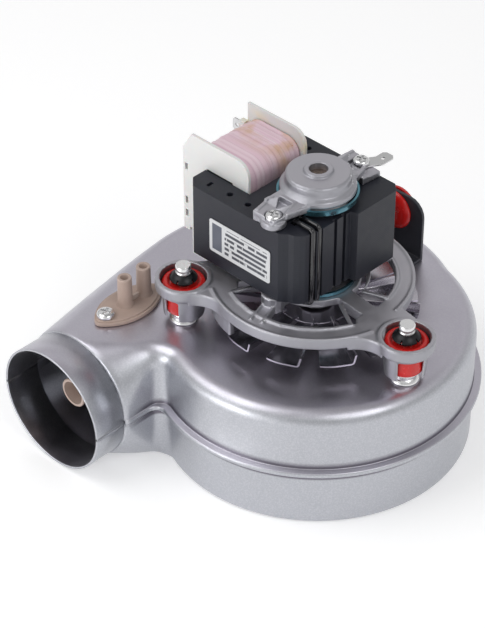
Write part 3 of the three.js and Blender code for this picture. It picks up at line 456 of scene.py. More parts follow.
def tape_finish():
    """Pink tape: each turn a slightly different shade, stained by resin towards the rear flange."""
    material = finish("tape", (0.69, 0.50, 0.57), 0.42, tint=0.05, mottle=130, bump=0.03,
                      grain=500)
    nodes, links = tools_of(material)
    along = axis_of(material, "place", "Y")
    shade = nodes.new("ShaderNodeTexNoise")
    shade.noise_dimensions = "1D"
    shade.inputs["Scale"].default_value = 420
    links.new(along, shade.inputs["W"])
    pale = ramp(material, shade.outputs["Fac"], 0.45, 0.7, 0.0, 0.55)
    deep = ramp(material, shade.outputs["Fac"], 0.42, 0.28, 0.0, 0.5)
    overlay(material, pale, (0.80, 0.68, 0.72))
    overlay(material, deep, (0.53, 0.34, 0.44))
    stain = times(material, ramp(material, along, AXIS.y - 5 * MM, AXIS.y + 7 * MM),
                  noise_mask(material, 75, 0.44, 0.62))
    high = ramp(material, axis_of(material, "place", "Z"), 118 * MM, 131 * MM)
    overlay(material, times(material, stain, high), (0.60, 0.37, 0.22))
    return material


def translucent(material, weight, depth):
    """Lets light into a plastic or a rubber, to a depth in millimetres."""
    inputs = material.node_tree.nodes["Principled BSDF"].inputs
    inputs["Subsurface Weight"].default_value = weight
    inputs["Subsurface Scale"].default_value = depth * MM


def bobbin_finish():
    """White nylon, with a little of the tape's resin on the rear flange."""
    material = finish("bobbin", (0.70, 0.70, 0.69), 0.38, tint=0.03, mottle=50, bump=0.008,
                      grain=400)
    translucent(material, 0.12, 2)
    rear = ramp(material, axis_of(material, "place", "Y"), AXIS.y + 14 * MM, AXIS.y + 16 * MM)
    resin = times(material, rear, noise_mask(material, 90, 0.5, 0.68))
    low = ramp(material, axis_of(material, "place", "Z"), 138 * MM, 131 * MM)
    overlay(material, times(material, resin, low), (0.78, 0.68, 0.47))
    return material


def silicone_finish():
    """Glossy red silicone rubber."""
    material = finish("silicone", (0.55, 0.012, 0.010), 0.24, tint=0.18, mottle=200, bump=0.02,
                      grain=700)
    translucent(material, 0.1, 1)
    return material


def tap_finish():
    """Brown moulded plastic, a little paler along its edges."""
    material = finish("tap", (0.40, 0.30, 0.255), 0.5, tint=0.13, mottle=180, bump=0.03,
                      grain=900)
    worn_edges(material, (0.52, 0.42, 0.37), 0.54, 0.64)
    return material


def broken_bars(material, across, height, pitch):
    """Rows of plain bars of uneven length, as a mask: one row in each pitch of height."""
    bar_scale, row_scale = 320, 385  # steps of the noise in a metre, along a row and between rows
    rows = ramp(material, computed(material, "WRAP", height, pitch, 0), pitch * 0.42, pitch * 0.46)
    nodes, links = tools_of(material)
    place = nodes.new("ShaderNodeCombineXYZ")
    links.new(times(material, across, bar_scale), place.inputs["X"])
    row = computed(material, "FLOOR", times(material, height, row_scale))
    links.new(row, place.inputs["Y"])
    breaks = nodes.new("ShaderNodeTexNoise")
    breaks.noise_dimensions = "2D"
    breaks.inputs["Scale"].default_value = 1
    links.new(place.outputs["Vector"], breaks.inputs["Vector"])
    return times(material, rows, ramp(material, breaks.outputs["Fac"], 0.39, 0.41))


def label_finish():
    """Silver-white film with rows of plain grey bars and a darker block at its left."""
    material = finish("label", (0.62, 0.63, 0.64), 0.34, 0.15, tint=0.03, mottle=120, bump=0.004)
    x0, _, z0, x1, _, z1 = extent("rating_label")
    left, right = AXIS.x + x0 * MM, AXIS.x + x1 * MM
    across = axis_of(material, "place", "X")
    height = axis_of(material, "place", "Z")
    margin = 1.6 * MM
    inside = between(material, height, z0 * MM + margin, z1 * MM - margin, 0.2 * MM)
    beside = between(material, across, left + 9 * MM, right - 1.5 * MM, 0.3 * MM)
    bars = broken_bars(material, across, height, 2.6 * MM)
    overlay(material, times(material, times(material, bars, beside), inside), (0.07, 0.075, 0.09))
    block = between(material, across, left + margin, left + 7.6 * MM, 0.2 * MM)
    overlay(material, times(material, block, inside), (0.10, 0.11, 0.14))
    return material


FINISHES = {
    "sheet": sheet_finish(),
    "casting": casting_finish(),
    "bright": finish("bright", (0.77, 0.77, 0.775), 0.2, 1.0, tint=0.06, mottle=300, bump=0.01),
    "blued": finish("blued", (0.09, 0.24, 0.30), 0.22, 0.9, tint=0.3, mottle=220, coat=0.3),
    "lamination": lamination_finish(),
    "core": finish("core", (0.07, 0.07, 0.075), 0.45, 0.7, tint=0.2, mottle=200, bump=0.01),
    "bobbin": bobbin_finish(),
    "tape": tape_finish(),
    "copper": finish("copper", (0.62, 0.25, 0.11), 0.3, 1.0, tint=0.15, mottle=250, bump=0.03),
    "lacquer": finish("lacquer", (0.010, 0.010, 0.012), 0.14, 0.2, tint=0.2, mottle=250, bump=0.03,
                      grain=350, coat=0.6),
    "bronze": finish("bronze", (0.24, 0.19, 0.16), 0.42, 0.9, tint=0.2, mottle=300, bump=0.03,
                     grain=1500),
    "silicone": silicone_finish(),
    "washer": finish("washer", (0.016, 0.016, 0.018), 0.32, 0.6, tint=0.25, mottle=300, bump=0.015),
    "tap": tap_finish(),
    "hanger": finish("hanger", (0.04, 0.042, 0.052), 0.4, 0.2, tint=0.2, mottle=110, bump=0.01),
    "tin": finish("tin", (0.62, 0.62, 0.625), 0.3, 1.0, tint=0.08, mottle=200, bump=0.015),
    "label": label_finish(),
    "rotor": finish("rotor", (0.28, 0.28, 0.30), 0.4, 0.9, tint=0.15, mottle=200, bump=0.02),
    "blade": finish("blade", (0.52, 0.50, 0.55), 0.22, 1.0, tint=0.18, mottle=70, rough_spread=0.08,
                    bump=0.015, grain=300),
    "black_plastic": finish("black_plastic", (0.012, 0.012, 0.013), 0.4, tint=0.2, mottle=150,
                            bump=0.02),
}


# -------------------- volute

HEIGHT = extent("volute_upper_shell")[5]
MOUTH = extent("volute_lower_shell")[1]  # the end of the outlet
DUCT_X, _ = middle("pressure_tap")
HALF = HEIGHT / 2
DUCT_LEFT = DUCT_X - HALF
DUCT_RIGHT = DUCT_X + HALF
COLLAR_END = MOUTH + 16.4  # a fine step ends the collar
COLLAR_RADIUS = HALF - 0.6
STEP = 1.2  # length of the slope from the collar up to the duct
TIGHT = 70.5  # drum wall beside the tongue
OPEN = 72.5  # drum wall at SPIRAL
TONGUE = -110.7  # degrees from +X, as is the next
SPIRAL = 75  # where the spiral starts to open
FILLET = 6  # between the duct's right side and the drum
TOP_EDGE = 7
BOTTOM_EDGE = 3
FLANGE = 3.5  # how far the seam flange stands out from the wall
HEM_TOP = HALF + 1.2
HEM_BOTTOM = HALF - 1.2
SHEET = 0.9
EYE = 43  # where the bell mouth meets the flat underside


def painted_shade_beside_flange(material):
    """Painted shade in the corner above the seam flange and on the wall under it, not on the collar."""
    height = axis_of(material, "place", "Z")
    above = times(material, ramp(material, height, (HEM_TOP + 3.4) * MM, (HEM_TOP + 0.9) * MM),
                  ramp(material, height, (HEM_TOP + 0.1) * MM, (HEM_TOP + 0.2) * MM))
    below = times(material, ramp(material, height, (HEM_BOTTOM - 4.2) * MM, (HEM_BOTTOM - 3.2) * MM),
                  ramp(material, height, (HEM_BOTTOM - 0.1) * MM, (HEM_BOTTOM - 0.2) * MM))
    clear_of_collar = ramp(material, axis_of(material, "place", "Y"),
                           AXIS.y + (COLLAR_END + 2) * MM, AXIS.y + (COLLAR_END + 12) * MM, 0, 0.8)
    # Painted shade where the flange shades the wall.
    for line in (above, below):
        overlay(material, times(material, line, clear_of_collar), (0.10, 0.085, 0.115))


def wall_radius(degrees):
    """The drum's radius: nearly round on the tongue's side, opening out to the duct's far wall."""
    if degrees <= SPIRAL:
        return blend_between(TIGHT, OPEN, (degrees - TONGUE) / (SPIRAL - TONGUE))
    opening = math.sin((degrees - SPIRAL) / (180 - SPIRAL) * math.pi / 2)
    return blend_between(OPEN, -DUCT_LEFT, opening)


def wall_line():
    """The casing's wall in plan, from the collar up the duct's right side, round the drum and back
    down its left side, with the length travelled at each point."""
    right_steps, drum_steps, left_steps = 7, 110, 30
    centre_x = DUCT_RIGHT + FILLET
    centre_y = -math.sqrt((TIGHT + FILLET) ** 2 - centre_x ** 2)
    points = [(DUCT_RIGHT, COLLAR_END)]
    for i in range(right_steps):
        points.append((DUCT_RIGHT, blend_between(COLLAR_END + STEP, centre_y, i / right_steps)))
    meet = math.degrees(math.atan2(-centre_y, -centre_x))
    points += arc(centre_x, centre_y, FILLET, 180, meet, 9)
    first = math.degrees(math.atan2(centre_y, centre_x))
    for i in range(1, drum_steps):
        degrees = blend_between(first, 180, i / drum_steps)
        points.append(polar(wall_radius(degrees), degrees))
    for i in range(left_steps + 1):
        points.append((DUCT_LEFT, blend_between(0, COLLAR_END + STEP, i / left_steps)))
    points.append((DUCT_LEFT, COLLAR_END))
    travelled = [0]
    for a, b in zip(points, points[1:]):
        travelled.append(travelled[-1] + math.dist(a, b))
    return points, travelled


def inward(points, i):
    """The unit direction into the casing at a point of the wall."""
    (x0, y0), (x1, y1) = points[max(i - 1, 0)], points[min(i + 1, len(points) - 1)]
    along = Vector((x1 - x0, y1 - y0)).normalized()
    return Vector((-along.y, along.x))


def corner_at(edge, travelled, i):
    """Corner radius of the casing's edge: round at the collar, easing to the drum's own edge."""
    right_ease, left_ease = 22, 83
    start = min(travelled[i] / right_ease, 1)
    end = min((travelled[-1] - travelled[i]) / left_ease, 1)
    roundness = max((1 - start) ** 1.25, (1 - end) ** 1.25)
    return edge + (HALF - 0.3 - edge) * roundness


def flange_at(travelled, i):
    """Width of the seam flange: narrow at the collar, growing to its full width on each side."""
    narrow = 0.7
    right_gap, right_ease = 12, 10
    left_gap, left_ease = 6, 28
    start = max(travelled[i] - right_gap, 0) / right_ease
    end = max(travelled[-1] - travelled[i] - left_gap, 0) / left_ease
    return blend_between(narrow, FLANGE, min(start, end))


def wall_section(corner, flange, upper):
    """(inset, height over the seam) points from the flat plate out over the edge to the seam."""
    steps = 9
    bend = 0.55
    over = HEM_TOP - HALF
    under = HALF - HEM_BOTTOM
    clear = over + bend
    top = HALF - corner
    lowest = math.asin(max(clear - top, 0) / corner)
    section = []
    for k in range(steps + 1):
        angle = blend_between(math.pi / 2, lowest, k / steps)
        section.append((corner * (1 - math.cos(angle)), top + corner * math.sin(angle)))
    wall = section[-1][0]
    if upper:
        rim = wall - max(flange, bend + 0.3)
        return section + [
            (wall, clear + 0.01), (wall - 0.3 * bend, over + 0.3 * bend), (wall - bend, over),
            (rim + 0.6, over), (rim + 0.2, over - 0.2), (rim, over - 0.7),
            (rim, 0.7 - under), (rim + 0.2, 0.2 - under), (rim + 0.6, -under), (wall - 0.75, -under),
        ]
    return section + [
        (wall, clear + 0.01), (wall, under - 0.7), (wall - 0.3, 0.5),
        (wall - 0.6, 0.35), (wall - max(flange - 1.2, 0.7), 0.35),
    ]


def casing_skin(bm, edge, upper):
    """The outside of one pressed half, open along its seam."""
    points, travelled = wall_line()
    sign = 1 if upper else -1
    rows = []
    for i, (x, y) in enumerate(points):
        across = inward(points, i)
        section = wall_section(corner_at(edge, travelled, i), flange_at(travelled, i), upper)
        if i in (0, len(points) - 1):
            shrink = (COLLAR_RADIUS + 0.1) / HALF
            section = [(HALF - shrink * (HALF - inset), shrink * rise) for inset, rise in section]
        rows.append([(x + across.x * inset, y + across.y * inset, HALF + sign * height)
                     for inset, height in section])
    lines = grid(bm, rows)
    return [line[0] for line in lines]


def collar_skin(bm, upper):
    """Half of the round collar. The upper half laps over the lower one at the seam."""
    start, end = (182, -2) if upper else (360, 180)
    rows = []
    for x, z in arc(DUCT_X, HALF, COLLAR_RADIUS, start, end, 40):
        rows.append([(x, y, z) for y in (COLLAR_END + 1.5, MOUTH + 0.4, MOUTH)])
    grid(bm, rows)


def volute_shell(node, edge, upper):
    """One pressed half of the volute, with the hole in its flat plate, as a sheet of even thickness."""
    bm = bmesh.new()
    outline = casing_skin(bm, edge, upper)
    if upper:
        hole = turned(bm, [(6.5, HEIGHT - 0.8), (6.7, HEIGHT - 0.2), (7.2, HEIGHT)], segments=40)
    else:
        bell = [(37, 9), (37.1, 6.5), (37.6, 4), (38.6, 2), (40.4, 0.6), (EYE, 0)]
        hole = turned(bm, bell, segments=96)
    fill(bm, outline, [[line[-1] for line in hole]])
    bmesh.ops.recalc_face_normals(bm, faces=bm.faces)
    flat = max(bm.faces, key=lambda face: face.calc_area())
    if (flat.normal.z > 0) != upper:
        bmesh.ops.reverse_faces(bm, faces=bm.faces)
    collar_skin(bm, upper)
    obj = object_from(node + "_fine", bm, sharp=50)
    thick = obj.modifiers.new("sheet", "SOLIDIFY")
    thick.thickness = SHEET * MM
    thick.offset = -1
    thick.use_even_offset = False
    stands_for(obj, node, FINISHES["sheet"])


# Painted shade beside the seam flange.
painted_shade_beside_flange(FINISHES["sheet"])
volute_shell("volute_upper_shell", TOP_EDGE, True)
volute_shell("volute_lower_shell", BOTTOM_EDGE, False)


# -------------------- turned pieces

def turned_lying(bm, profile, x, z, segments=48):
    """A closed profile of (radius, y) points turned about a horizontal line along Y."""
    rows = []
    for i in range(segments):
        c, s = polar(1, 360 * i / segments)
        rows.append([(x + r * c, along, z + r * s) for r, along in profile[:-1]])
    grid(bm, rows, loop_rows=True, loop_columns=True)


def block(bm, x0, x1, y0, y1, z0, z1, turn=0, about=(0, 0)):
    """A box, turned by an angle in plan about a point."""
    matrix = (Matrix.Translation((*about, 0)) @ Matrix.Rotation(math.radians(turn), 4, "Z")
              @ Matrix.Translation(((x0 + x1) / 2, (y0 + y1) / 2, (z0 + z1) / 2))
              @ Matrix.Diagonal((x1 - x0, y1 - y0, z1 - z0, 1)))
    bmesh.ops.create_cube(bm, size=1, matrix=matrix)


def pan_screw(node, head, shank, height):
    """Cross-head screw in the place of its node: domed head with a cross recess, round shank."""
    x, y = middle(node)
    _, _, low, _, _, high = extent(node)
    base = high - height
    floor = base + height * 0.45
    reach = head * 0.6
    half_slot = head * 0.13
    bm = bmesh.new()
    lathe_solid(bm, [(0, low), (shank - 0.4, low), (shank, low + 0.5), (shank, base),
                     (head - 0.25, base), (head, base + 0.25), (head, floor), (0, floor)], x, y)
    turned(bm, [(reach, floor - 0.1), (head, floor - 0.1), (head, floor),
                (head * 0.94, base + height * 0.68), (head * 0.78, base + height * 0.87),
                (reach, high - 0.1), (reach, floor - 0.1)], x, y)
    spread = math.degrees(math.asin(half_slot / reach))
    sector = [(half_slot, half_slot)] + arc(0, 0, reach + 0.05, spread, 90 - spread, 8)
    for quarter in range(4):
        turn = Matrix.Rotation(math.radians(20 + 90 * quarter), 2)
        outline = [(x + p.x, y + p.y) for p in (turn @ Vector(point) for point in sector)]
        slab(bm, outline, floor - 0.1, high - 0.02, 0.12)
    piece(node, bm, FINISHES["bright"])


# -------------------- pressure tap

TAP_BASE = HEIGHT + 0.2
TAP_THICK = 2.6
TAP_Y = -54.8
TAP_LENGTH = 38.8
TAP_WIDTH = 20.8
NOZZLES = (-56.5, -45)
NOZZLE_TOP = extent("pressure_tap")[5]
PROBE_Z = 32
PROBE_MOUTH = -90
PROBE_THROAT = -76
SCREW_HOLE = 1.6


def tap_outline(inset=0):
    """The tap's plate: an oval with narrow ends."""
    half_length = TAP_LENGTH / 2 - inset
    half_width = TAP_WIDTH / 2 - inset
    points = []
    for i in range(72):
        c, s = polar(1, 5 * i)
        narrowing = 1 - 0.34 * abs(s) ** 3
        points.append((DUCT_X + half_width * narrowing * c, TAP_Y + half_length * s))
    return points


def pressure_tap():
    """Stepped plate, two hose nozzles with a web between them, and the probe in the outlet."""
    bm = bmesh.new()
    _, screw_y = middle("pressure_tap_screw")
    hole = circle(DUCT_X, screw_y, SCREW_HOLE)
    floor = TAP_BASE + TAP_THICK
    slab(bm, tap_outline(), TAP_BASE, floor - 0.7, 0.4, [hole])
    slab(bm, tap_outline(1.1), TAP_BASE + 1, floor, 0.45, [hole])
    for y in NOZZLES:
        turned(bm, [(1.7, PROBE_Z), (3.2, PROBE_Z), (3.2, 58), (3.2, floor - 1), (4.3, floor - 0.4),
                    (3.9, floor + 0.2), (3.5, floor + 1.2), (3.4, floor + 3),
                    (3.25, NOZZLE_TOP - 1.2), (3.25, NOZZLE_TOP - 0.4), (3.05, NOZZLE_TOP),
                    (2.0, NOZZLE_TOP), (1.7, NOZZLE_TOP - 0.4), (1.7, PROBE_Z)], DUCT_X, y, 40)
    block(bm, DUCT_X - 0.6, DUCT_X + 0.6, NOZZLES[0] + 3, NOZZLES[1] - 3, floor - 0.5, floor + 2.2)
    turned_lying(bm, [(5.7, PROBE_MOUTH), (6.7, PROBE_MOUTH), (7.0, PROBE_MOUTH + 0.4),
                      (4.8, PROBE_THROAT), (4.8, -44.4), (4.5, -44), (3.6, -44),
                      (3.5, PROBE_THROAT), (5.7, PROBE_MOUTH)], DUCT_X, PROBE_Z)
    piece("pressure_tap", bm, FINISHES["tap"])


pressure_tap()
pan_screw("pressure_tap_screw", 4.1, 1.45, 2.4)


# -------------------- rubber mounts

SIDES = ("left", "right", "rear")
CUP = {side: middle("mounting_post_" + side) for side in SIDES}
POST_TOP = extent("mounting_post_left")[5]
FOOT_TOP = 66.5
WELL = 78.2  # floor of the cup's well, which the grommet's lip lies on
CUP_RIM = 84
CUP_BOTTOM = 65
RIM_OUTER = 12.6
RIM_INNER = 10.5
SLEEVE_OUTER = 9.7
SLEEVE_INNER = 8.3


def mounting_post(side):
    """Stud with a waisted foot and a groove under its head."""
    x, y = CUP[side]
    base = HEIGHT + 0.2
    bm = bmesh.new()
    lathe_solid(bm, [(0, base), (6.4, base), (6.6, base + 0.3), (6.4, base + 1.2), (5.4, base + 2.2),
                     (5.3, base + 3.1), (6.0, base + 4.3), (6.5, FOOT_TOP - 0.5), (6.3, FOOT_TOP),
                     (3.5, FOOT_TOP + 0.2), (3.5, POST_TOP - 3.7), (2.85, POST_TOP - 3.3),
                     (2.8, POST_TOP - 2.7), (3.5, POST_TOP - 2.3), (3.5, POST_TOP - 0.45),
                     (3.15, POST_TOP), (0, POST_TOP)], x, y)
    piece("mounting_post_" + side, bm, FINISHES["bright"])


def grommet(side):
    """Red sleeve round the stud, with a rounded lip that lies in the cup's well."""
    x, y = CUP[side]
    bm = bmesh.new()
    turned(bm, [(3.8, FOOT_TOP + 0.5), (7.4, FOOT_TOP + 0.5), (7.95, FOOT_TOP + 1.2), (8.05, 70),
                (7.85, 72.4), (8.05, 75), (8.0, WELL + 0.3), (9.2, WELL + 0.35), (9.7, WELL + 0.9),
                (9.9, WELL + 1.9), (9.75, WELL + 2.9), (9.2, WELL + 3.8), (8.3, WELL + 4.2),
                (7.3, WELL + 4.0), (6.6, WELL + 3.4), (6.2, WELL + 2.8), (3.8, WELL + 2.8),
                (3.8, FOOT_TOP + 0.5)], x, y)
    piece("grommet_" + side, bm, FINISHES["silicone"])


def lock_washer(side):
    """Push-on washer: a dished ring whose outer half is cut into teeth."""
    x, y = CUP[side]
    low = WELL + 5
    bm = bmesh.new()
    turned(bm, [(3.6, low + 2.0), (4.2, low + 1.3), (5.2, low + 0.7), (5.2, low + 1.9),
                (4.4, low + 2.7), (3.6, low + 3.1), (3.6, low + 2.0)], x, y)
    teeth, gap = 5, 8
    for i in range(teeth):
        start = 360 / teeth * i + gap / 2
        turned(bm, [(5.0, low + 0.8), (6.1, low), (6.3, low + 0.4), (6.1, low + 1.0),
                    (5.0, low + 2.05), (5.0, low + 0.8)], x, y, start=start,
               end=start + 360 / teeth - gap)
    piece("lock_washer_" + side, bm, FINISHES["washer"])


for side in SIDES:
    mounting_post(side)
    grommet(side)
    lock_washer(side)


# -------------------- motor bracket

CUP_ANGLE = {side: math.degrees(math.atan2(y, x)) for side, (x, y) in CUP.items()}
# The middles of a cup's two windows, and half their width, in degrees.
CUP_WINDOWS = {"left": (-82, 98, 22), "right": (-32, 148, 39), "rear": (-120, 60, 27)}
PLATE_LOW = 79.6
PLATE_TOP = 83.2
FRONT_RIM = 47.6
REAR_RIM = 43.6
STRUT_START = (-1, -25)
STRUT_TURN = -72


def cup_shells(bm, side):
    """The cup's rim, its well and its sleeve, which is open at two windows."""
    x, y = CUP[side]
    outer = RIM_OUTER + 0.1
    sleeve = SLEEVE_OUTER + 0.1
    turned(bm, [(RIM_INNER, WELL), (RIM_INNER, CUP_RIM - 0.4), (RIM_INNER + 0.4, CUP_RIM),
                (RIM_OUTER - 0.4, CUP_RIM), (outer, CUP_RIM - 0.6), (outer, WELL + 1),
                (sleeve, WELL - 1.6), (sleeve, WELL - 2.4), (SLEEVE_INNER, WELL - 2.4),
                (SLEEVE_INNER, WELL), (RIM_INNER, WELL)], x, y)
    first, second, half_window = CUP_WINDOWS[side]
    for start, end in ((first, second), (second, first + 360)):
        turned(bm, [(SLEEVE_INNER, CUP_BOTTOM), (SLEEVE_OUTER - 0.6, CUP_BOTTOM), (sleeve, WELL - 2),
                    (SLEEVE_INNER, WELL - 2), (SLEEVE_INNER, CUP_BOTTOM)], x, y,
               start=start + half_window, end=end - half_window)


def rim_ridge(bm, outer, start, end):
    """Raised lip along the outside of the rim."""
    inner = outer - 1.7
    low = PLATE_LOW - 1.4
    turned(bm, [(inner, low), (outer, low), (outer, PLATE_TOP + 0.6), (outer - 1.0, PLATE_TOP + 0.8),
                (inner, PLATE_TOP + 0.2), (inner, low)], segments=160, start=start, end=end)


def cup_sweep(bm, side, turn):
    """Web whose hollow outline sweeps from the front rim into a cup. turn is the side of the cup, in
    plan, that it is on."""
    sweep = 13
    to_rim, to_cup = FRONT_RIM + sweep, RIM_OUTER + sweep
    cup_x, cup_y = CUP[side]
    apart = math.hypot(cup_x, cup_y)
    bend = math.degrees(math.acos((to_rim ** 2 + apart ** 2 - to_cup ** 2) / (2 * to_rim * apart)))
    towards = CUP_ANGLE[side] + turn * bend
    x, y = polar(to_rim, towards)
    end = math.degrees(math.atan2(cup_y - y, cup_x - x))
    start = towards + 180
    end += 360 * round((start - end) / 360)
    hollow = arc(x, y, sweep, start, end, 12)
    nearest = polar(apart - RIM_OUTER + 0.6, CUP_ANGLE[side])
    slab(bm, [polar(FRONT_RIM - 4, towards)] + hollow + [nearest], PLATE_LOW - 3, PLATE_TOP, 0.3)


def motor_bracket():
    """Die-cast bracket: cups, ridges, the front strut and the webs that run into the cups."""
    extra = bmesh.new()
    for side in SIDES:
        cup_shells(extra, side)
    rim_ridge(extra, FRONT_RIM, CUP_ANGLE["left"] + 10, CUP_ANGLE["right"] - 11)
    rim_ridge(extra, REAR_RIM, CUP_ANGLE["right"] + 12, CUP_ANGLE["rear"] - 10)
    # Strut from the front screw's lug out to the rim, with a raised rib on each edge.
    block(extra, 2, 20, -3.2, 3.2, PLATE_LOW, PLATE_TOP, STRUT_TURN, STRUT_START)
    for edge in (-3.2, 2.2):
        block(extra, 4, 19, edge, edge + 1, PLATE_LOW, PLATE_TOP + 0.8, STRUT_TURN, STRUT_START)
    cup_sweep(extra, "right", -1)
    cup_sweep(extra, "left", 1)
    cast_from("motor_bracket", extra, FINISHES["casting"], voxel=0.42)


motor_bracket()


# -------------------- hanger

def hanger_grommet():
    """Red grommet clipped through the hanger: domed in front, flat at the back."""
    x0, front, z0, x1, back, z1 = extent("hanger_grommet")
    behind = extent("hanger_plate")[4] + 0.3
    ahead = behind - 2.1
    bm = bmesh.new()
    turned_lying(bm, [(2.6, front + 0.6), (3.4, front + 0.1), (5.2, front), (7.4, front + 0.35),
                      (9.0, front + 1.1), (9.6, front + 2.1), (9.5, ahead), (6.9, ahead),
                      (6.9, behind), (10.3, behind), (10.4, behind + 0.9), (9.9, back - 0.3),
                      (9.2, back), (3.0, back), (2.6, back - 0.4), (2.6, front + 0.6)],
                 (x0 + x1) / 2, (z0 + z1) / 2, 56)
    piece("hanger_grommet", bm, FINISHES["silicone"])


refined("hanger_plate", 0.35, FINISHES["hanger"])
hanger_grommet()


# -------------------- stator

def shading_ring(node):
    """Lacquered copper bar bent round the stack: the CAD ring's outline with a round section."""
    x0, y0, z0, x1, y1, z1 = extent(node)
    radius = (y1 - y0) / 2
    y = (y0 + y1) / 2
    loop = rounded_box(x0 + radius, x1 - radius, z0 + radius, z1 - radius, 1.5, 5)
    bm = bmesh.new()
    rod(bm, [(x, y, z) for x, z in loop], radius)
    piece(node, bm, FINISHES["lacquer"])


refined("stator_stack", 0.3, FINISHES["lamination"], flat_over=0)
for place in ("front", "back"):
    for number in (1, 2):
        shading_ring(f"shading_ring_{place}_{number}")


# -------------------- coil

def coil_tape():
    """Tape wound round the coil in overlapping turns, so its surface steps at each turn."""
    x0, y0, z0, x1, y1, z1 = extent("coil_tape")
    turn, step, waviness = 2.75, 0.28, 0.12
    corner, thickness = 8.5, 0.9
    count = 96

    def loop(y, inset):
        outline = rounded_box(x0 + inset, x1 - inset, z0 + inset, z1 - inset, corner - inset, 12)
        return [(x, y, z) for x, z in outline]

    rows = []
    for i in range(count + 1):
        y = blend_between(y0, y1, i / count)
        ridge = step * (1 - ((y - y0) % turn) / turn)
        wave = waviness * (1 + math.sin(0.9 * y + 1))
        crown = 0.5 * (2 * abs(y - (y0 + y1) / 2) / (y1 - y0)) ** 2
        rows.append(loop(y, ridge + crown + wave))
    rows += [loop(y1, thickness), loop(y0, thickness)]
    bm = bmesh.new()
    grid(bm, rows, loop_rows=True, loop_columns=True)
    piece("coil_tape", bm, FINISHES["tape"], sharp=50)


refined("bobbin", 0.35, FINISHES["bobbin"])
coil_tape()
refined("coil_terminal_upper", 0.12, FINISHES["tin"])
refined("coil_terminal_lower", 0.12, FINISHES["tin"])


# -------------------- end caps and screws

CAP_LIP = 129.4
CAP_TOP = 138
EAR_START = 21  # how far from the shaft the ears' own vertices begin
BOSS_LOW = 124.4


def centring_ring(node):
    """Thin blued ring with rolled edges."""
    _, _, low, _, _, high = extent(node)
    outer, inner = 17.9, 16.9
    bm = bmesh.new()
    turned(bm, [(inner, low), (outer - 0.1, low), (outer, low + 0.3), (outer - 0.15, high - 0.4),
                (outer, high - 0.1), (outer - 0.2, high), (inner, high), (inner, low)], segments=96)
    piece(node, bm, FINISHES["blued"])


def lower_ears(bm):
    """Brings the tops of the end cap's ears down to the level of the screw heads."""
    for vertex in bm.verts:
        x, y, z = vertex.co
        if z > CAP_LIP + 1.5 and math.hypot(x, y) > EAR_START:
            vertex.co.z = CAP_LIP - 0.2


def upper_end_cap():
    """Die-cast housing: stepped skirt, and ears whose raised ribs frame the screws."""
    lip, top = CAP_LIP, CAP_TOP
    extra = bmesh.new()
    turned(extra, [(11.4, lip), (16.4, lip), (16.7, lip + 0.4), (16.7, lip + 2.4), (16.2, lip + 2.9),
                   (14.7, lip + 3.8), (14.4, lip + 4.4), (14.4, top - 1.4), (14.1, top - 0.7),
                   (13.5, top - 0.2), (12.2, top), (10.5, top - 0.35), (7.6, top - 0.2), (6.0, top),
                   (5.8, top + 0.7), (5.4, top + 1.0), (4.8, top + 1.0), (4.3, top + 0.7),
                   (4.2, top - 2.5), (11.4, top - 2.5), (11.4, lip)], segments=96)
    tall = lip + 1.4
    low = lip + 0.3
    ribs = [((-8.0, -13.4), (-8.7, -23.0), tall), ((-8.7, -23.0), (-7.4, -29.6), low),
            ((8.0, -13.4), (4.9, -24.5), tall), ((-8.0, 13.4), (-8.7, 22.0), low),
            ((-8.7, 22.0), (-8.0, 30.8), low), ((8.0, 13.4), (4.9, 23.5), tall)]
    for (xa, ya), (xb, yb), crest in ribs:
        length = math.dist((xa, ya), (xb, yb))
        angle = math.degrees(math.atan2(yb - ya, xb - xa))
        block(extra, -0.6, length + 0.6, -0.8, 0.8, lip - 1.6, crest, angle, (xa, ya))
    # Round boss under the front screw's head.
    boss_top = BOSS_LOW + 2.9
    turned(extra, [(2.3, BOSS_LOW), (5.6, BOSS_LOW), (5.6, boss_top - 0.3), (5.3, boss_top),
                   (2.3, boss_top), (2.3, BOSS_LOW)], *middle("through_screw_front"))
    cast_from("upper_end_cap", extra, FINISHES["casting"], voxel=0.3, rounds=3, change=lower_ears)


upper_end_cap()
for place in ("upper", "lower"):
    centring_ring("centring_ring_" + place)
for place in ("front", "back"):
    pan_screw("through_screw_" + place, 3.7, 1.9, 2.8)
refined("earth_tab", 0.12, FINISHES["tin"])


# -------------------- cooling fan

PETALS = 12
PETAL_START = -3  # degrees from +X to the first petal
HUB_RADIUS = 17
PETAL_ROOT = HUB_RADIUS - 3  # the petals start inside the hub's edge
PETAL_TIP = 46
PETAL_Z = 68.5
PETAL_SHEET = 0.8
PETAL_DROP = 1.1  # how far the petals' flat part lies below the hub
LIP_BEND = 1.2
LIP_SLOPE = math.radians(76)
LIP_WIDTH = 3.9


def petal_section(along):
    """Across a petal: the place and slope of its sheet, from its free edge to the top of its lip."""
    spread = min(along * 1.1, 1)
    low = -PETAL_DROP * min(along * 3, 1)
    fold = blend_between(2.6, 4.4, spread)
    section = []
    for k in range(6):
        section.append((blend_between(-2.6 - 6.6 * spread, fold, k / 5), low, 0))
    for k in range(1, 5):
        slope = LIP_SLOPE * k / 4
        rise = LIP_BEND * (1 - math.cos(slope))
        section.append((fold + LIP_BEND * math.sin(slope), low + rise, slope))
    across, height, slope = section[-1]
    for k in (1, 2):
        reach = blend_between(0.5, LIP_WIDTH, spread) * k / 2
        section.append((across + reach * math.cos(slope), height + reach * math.sin(slope), slope))
    return section


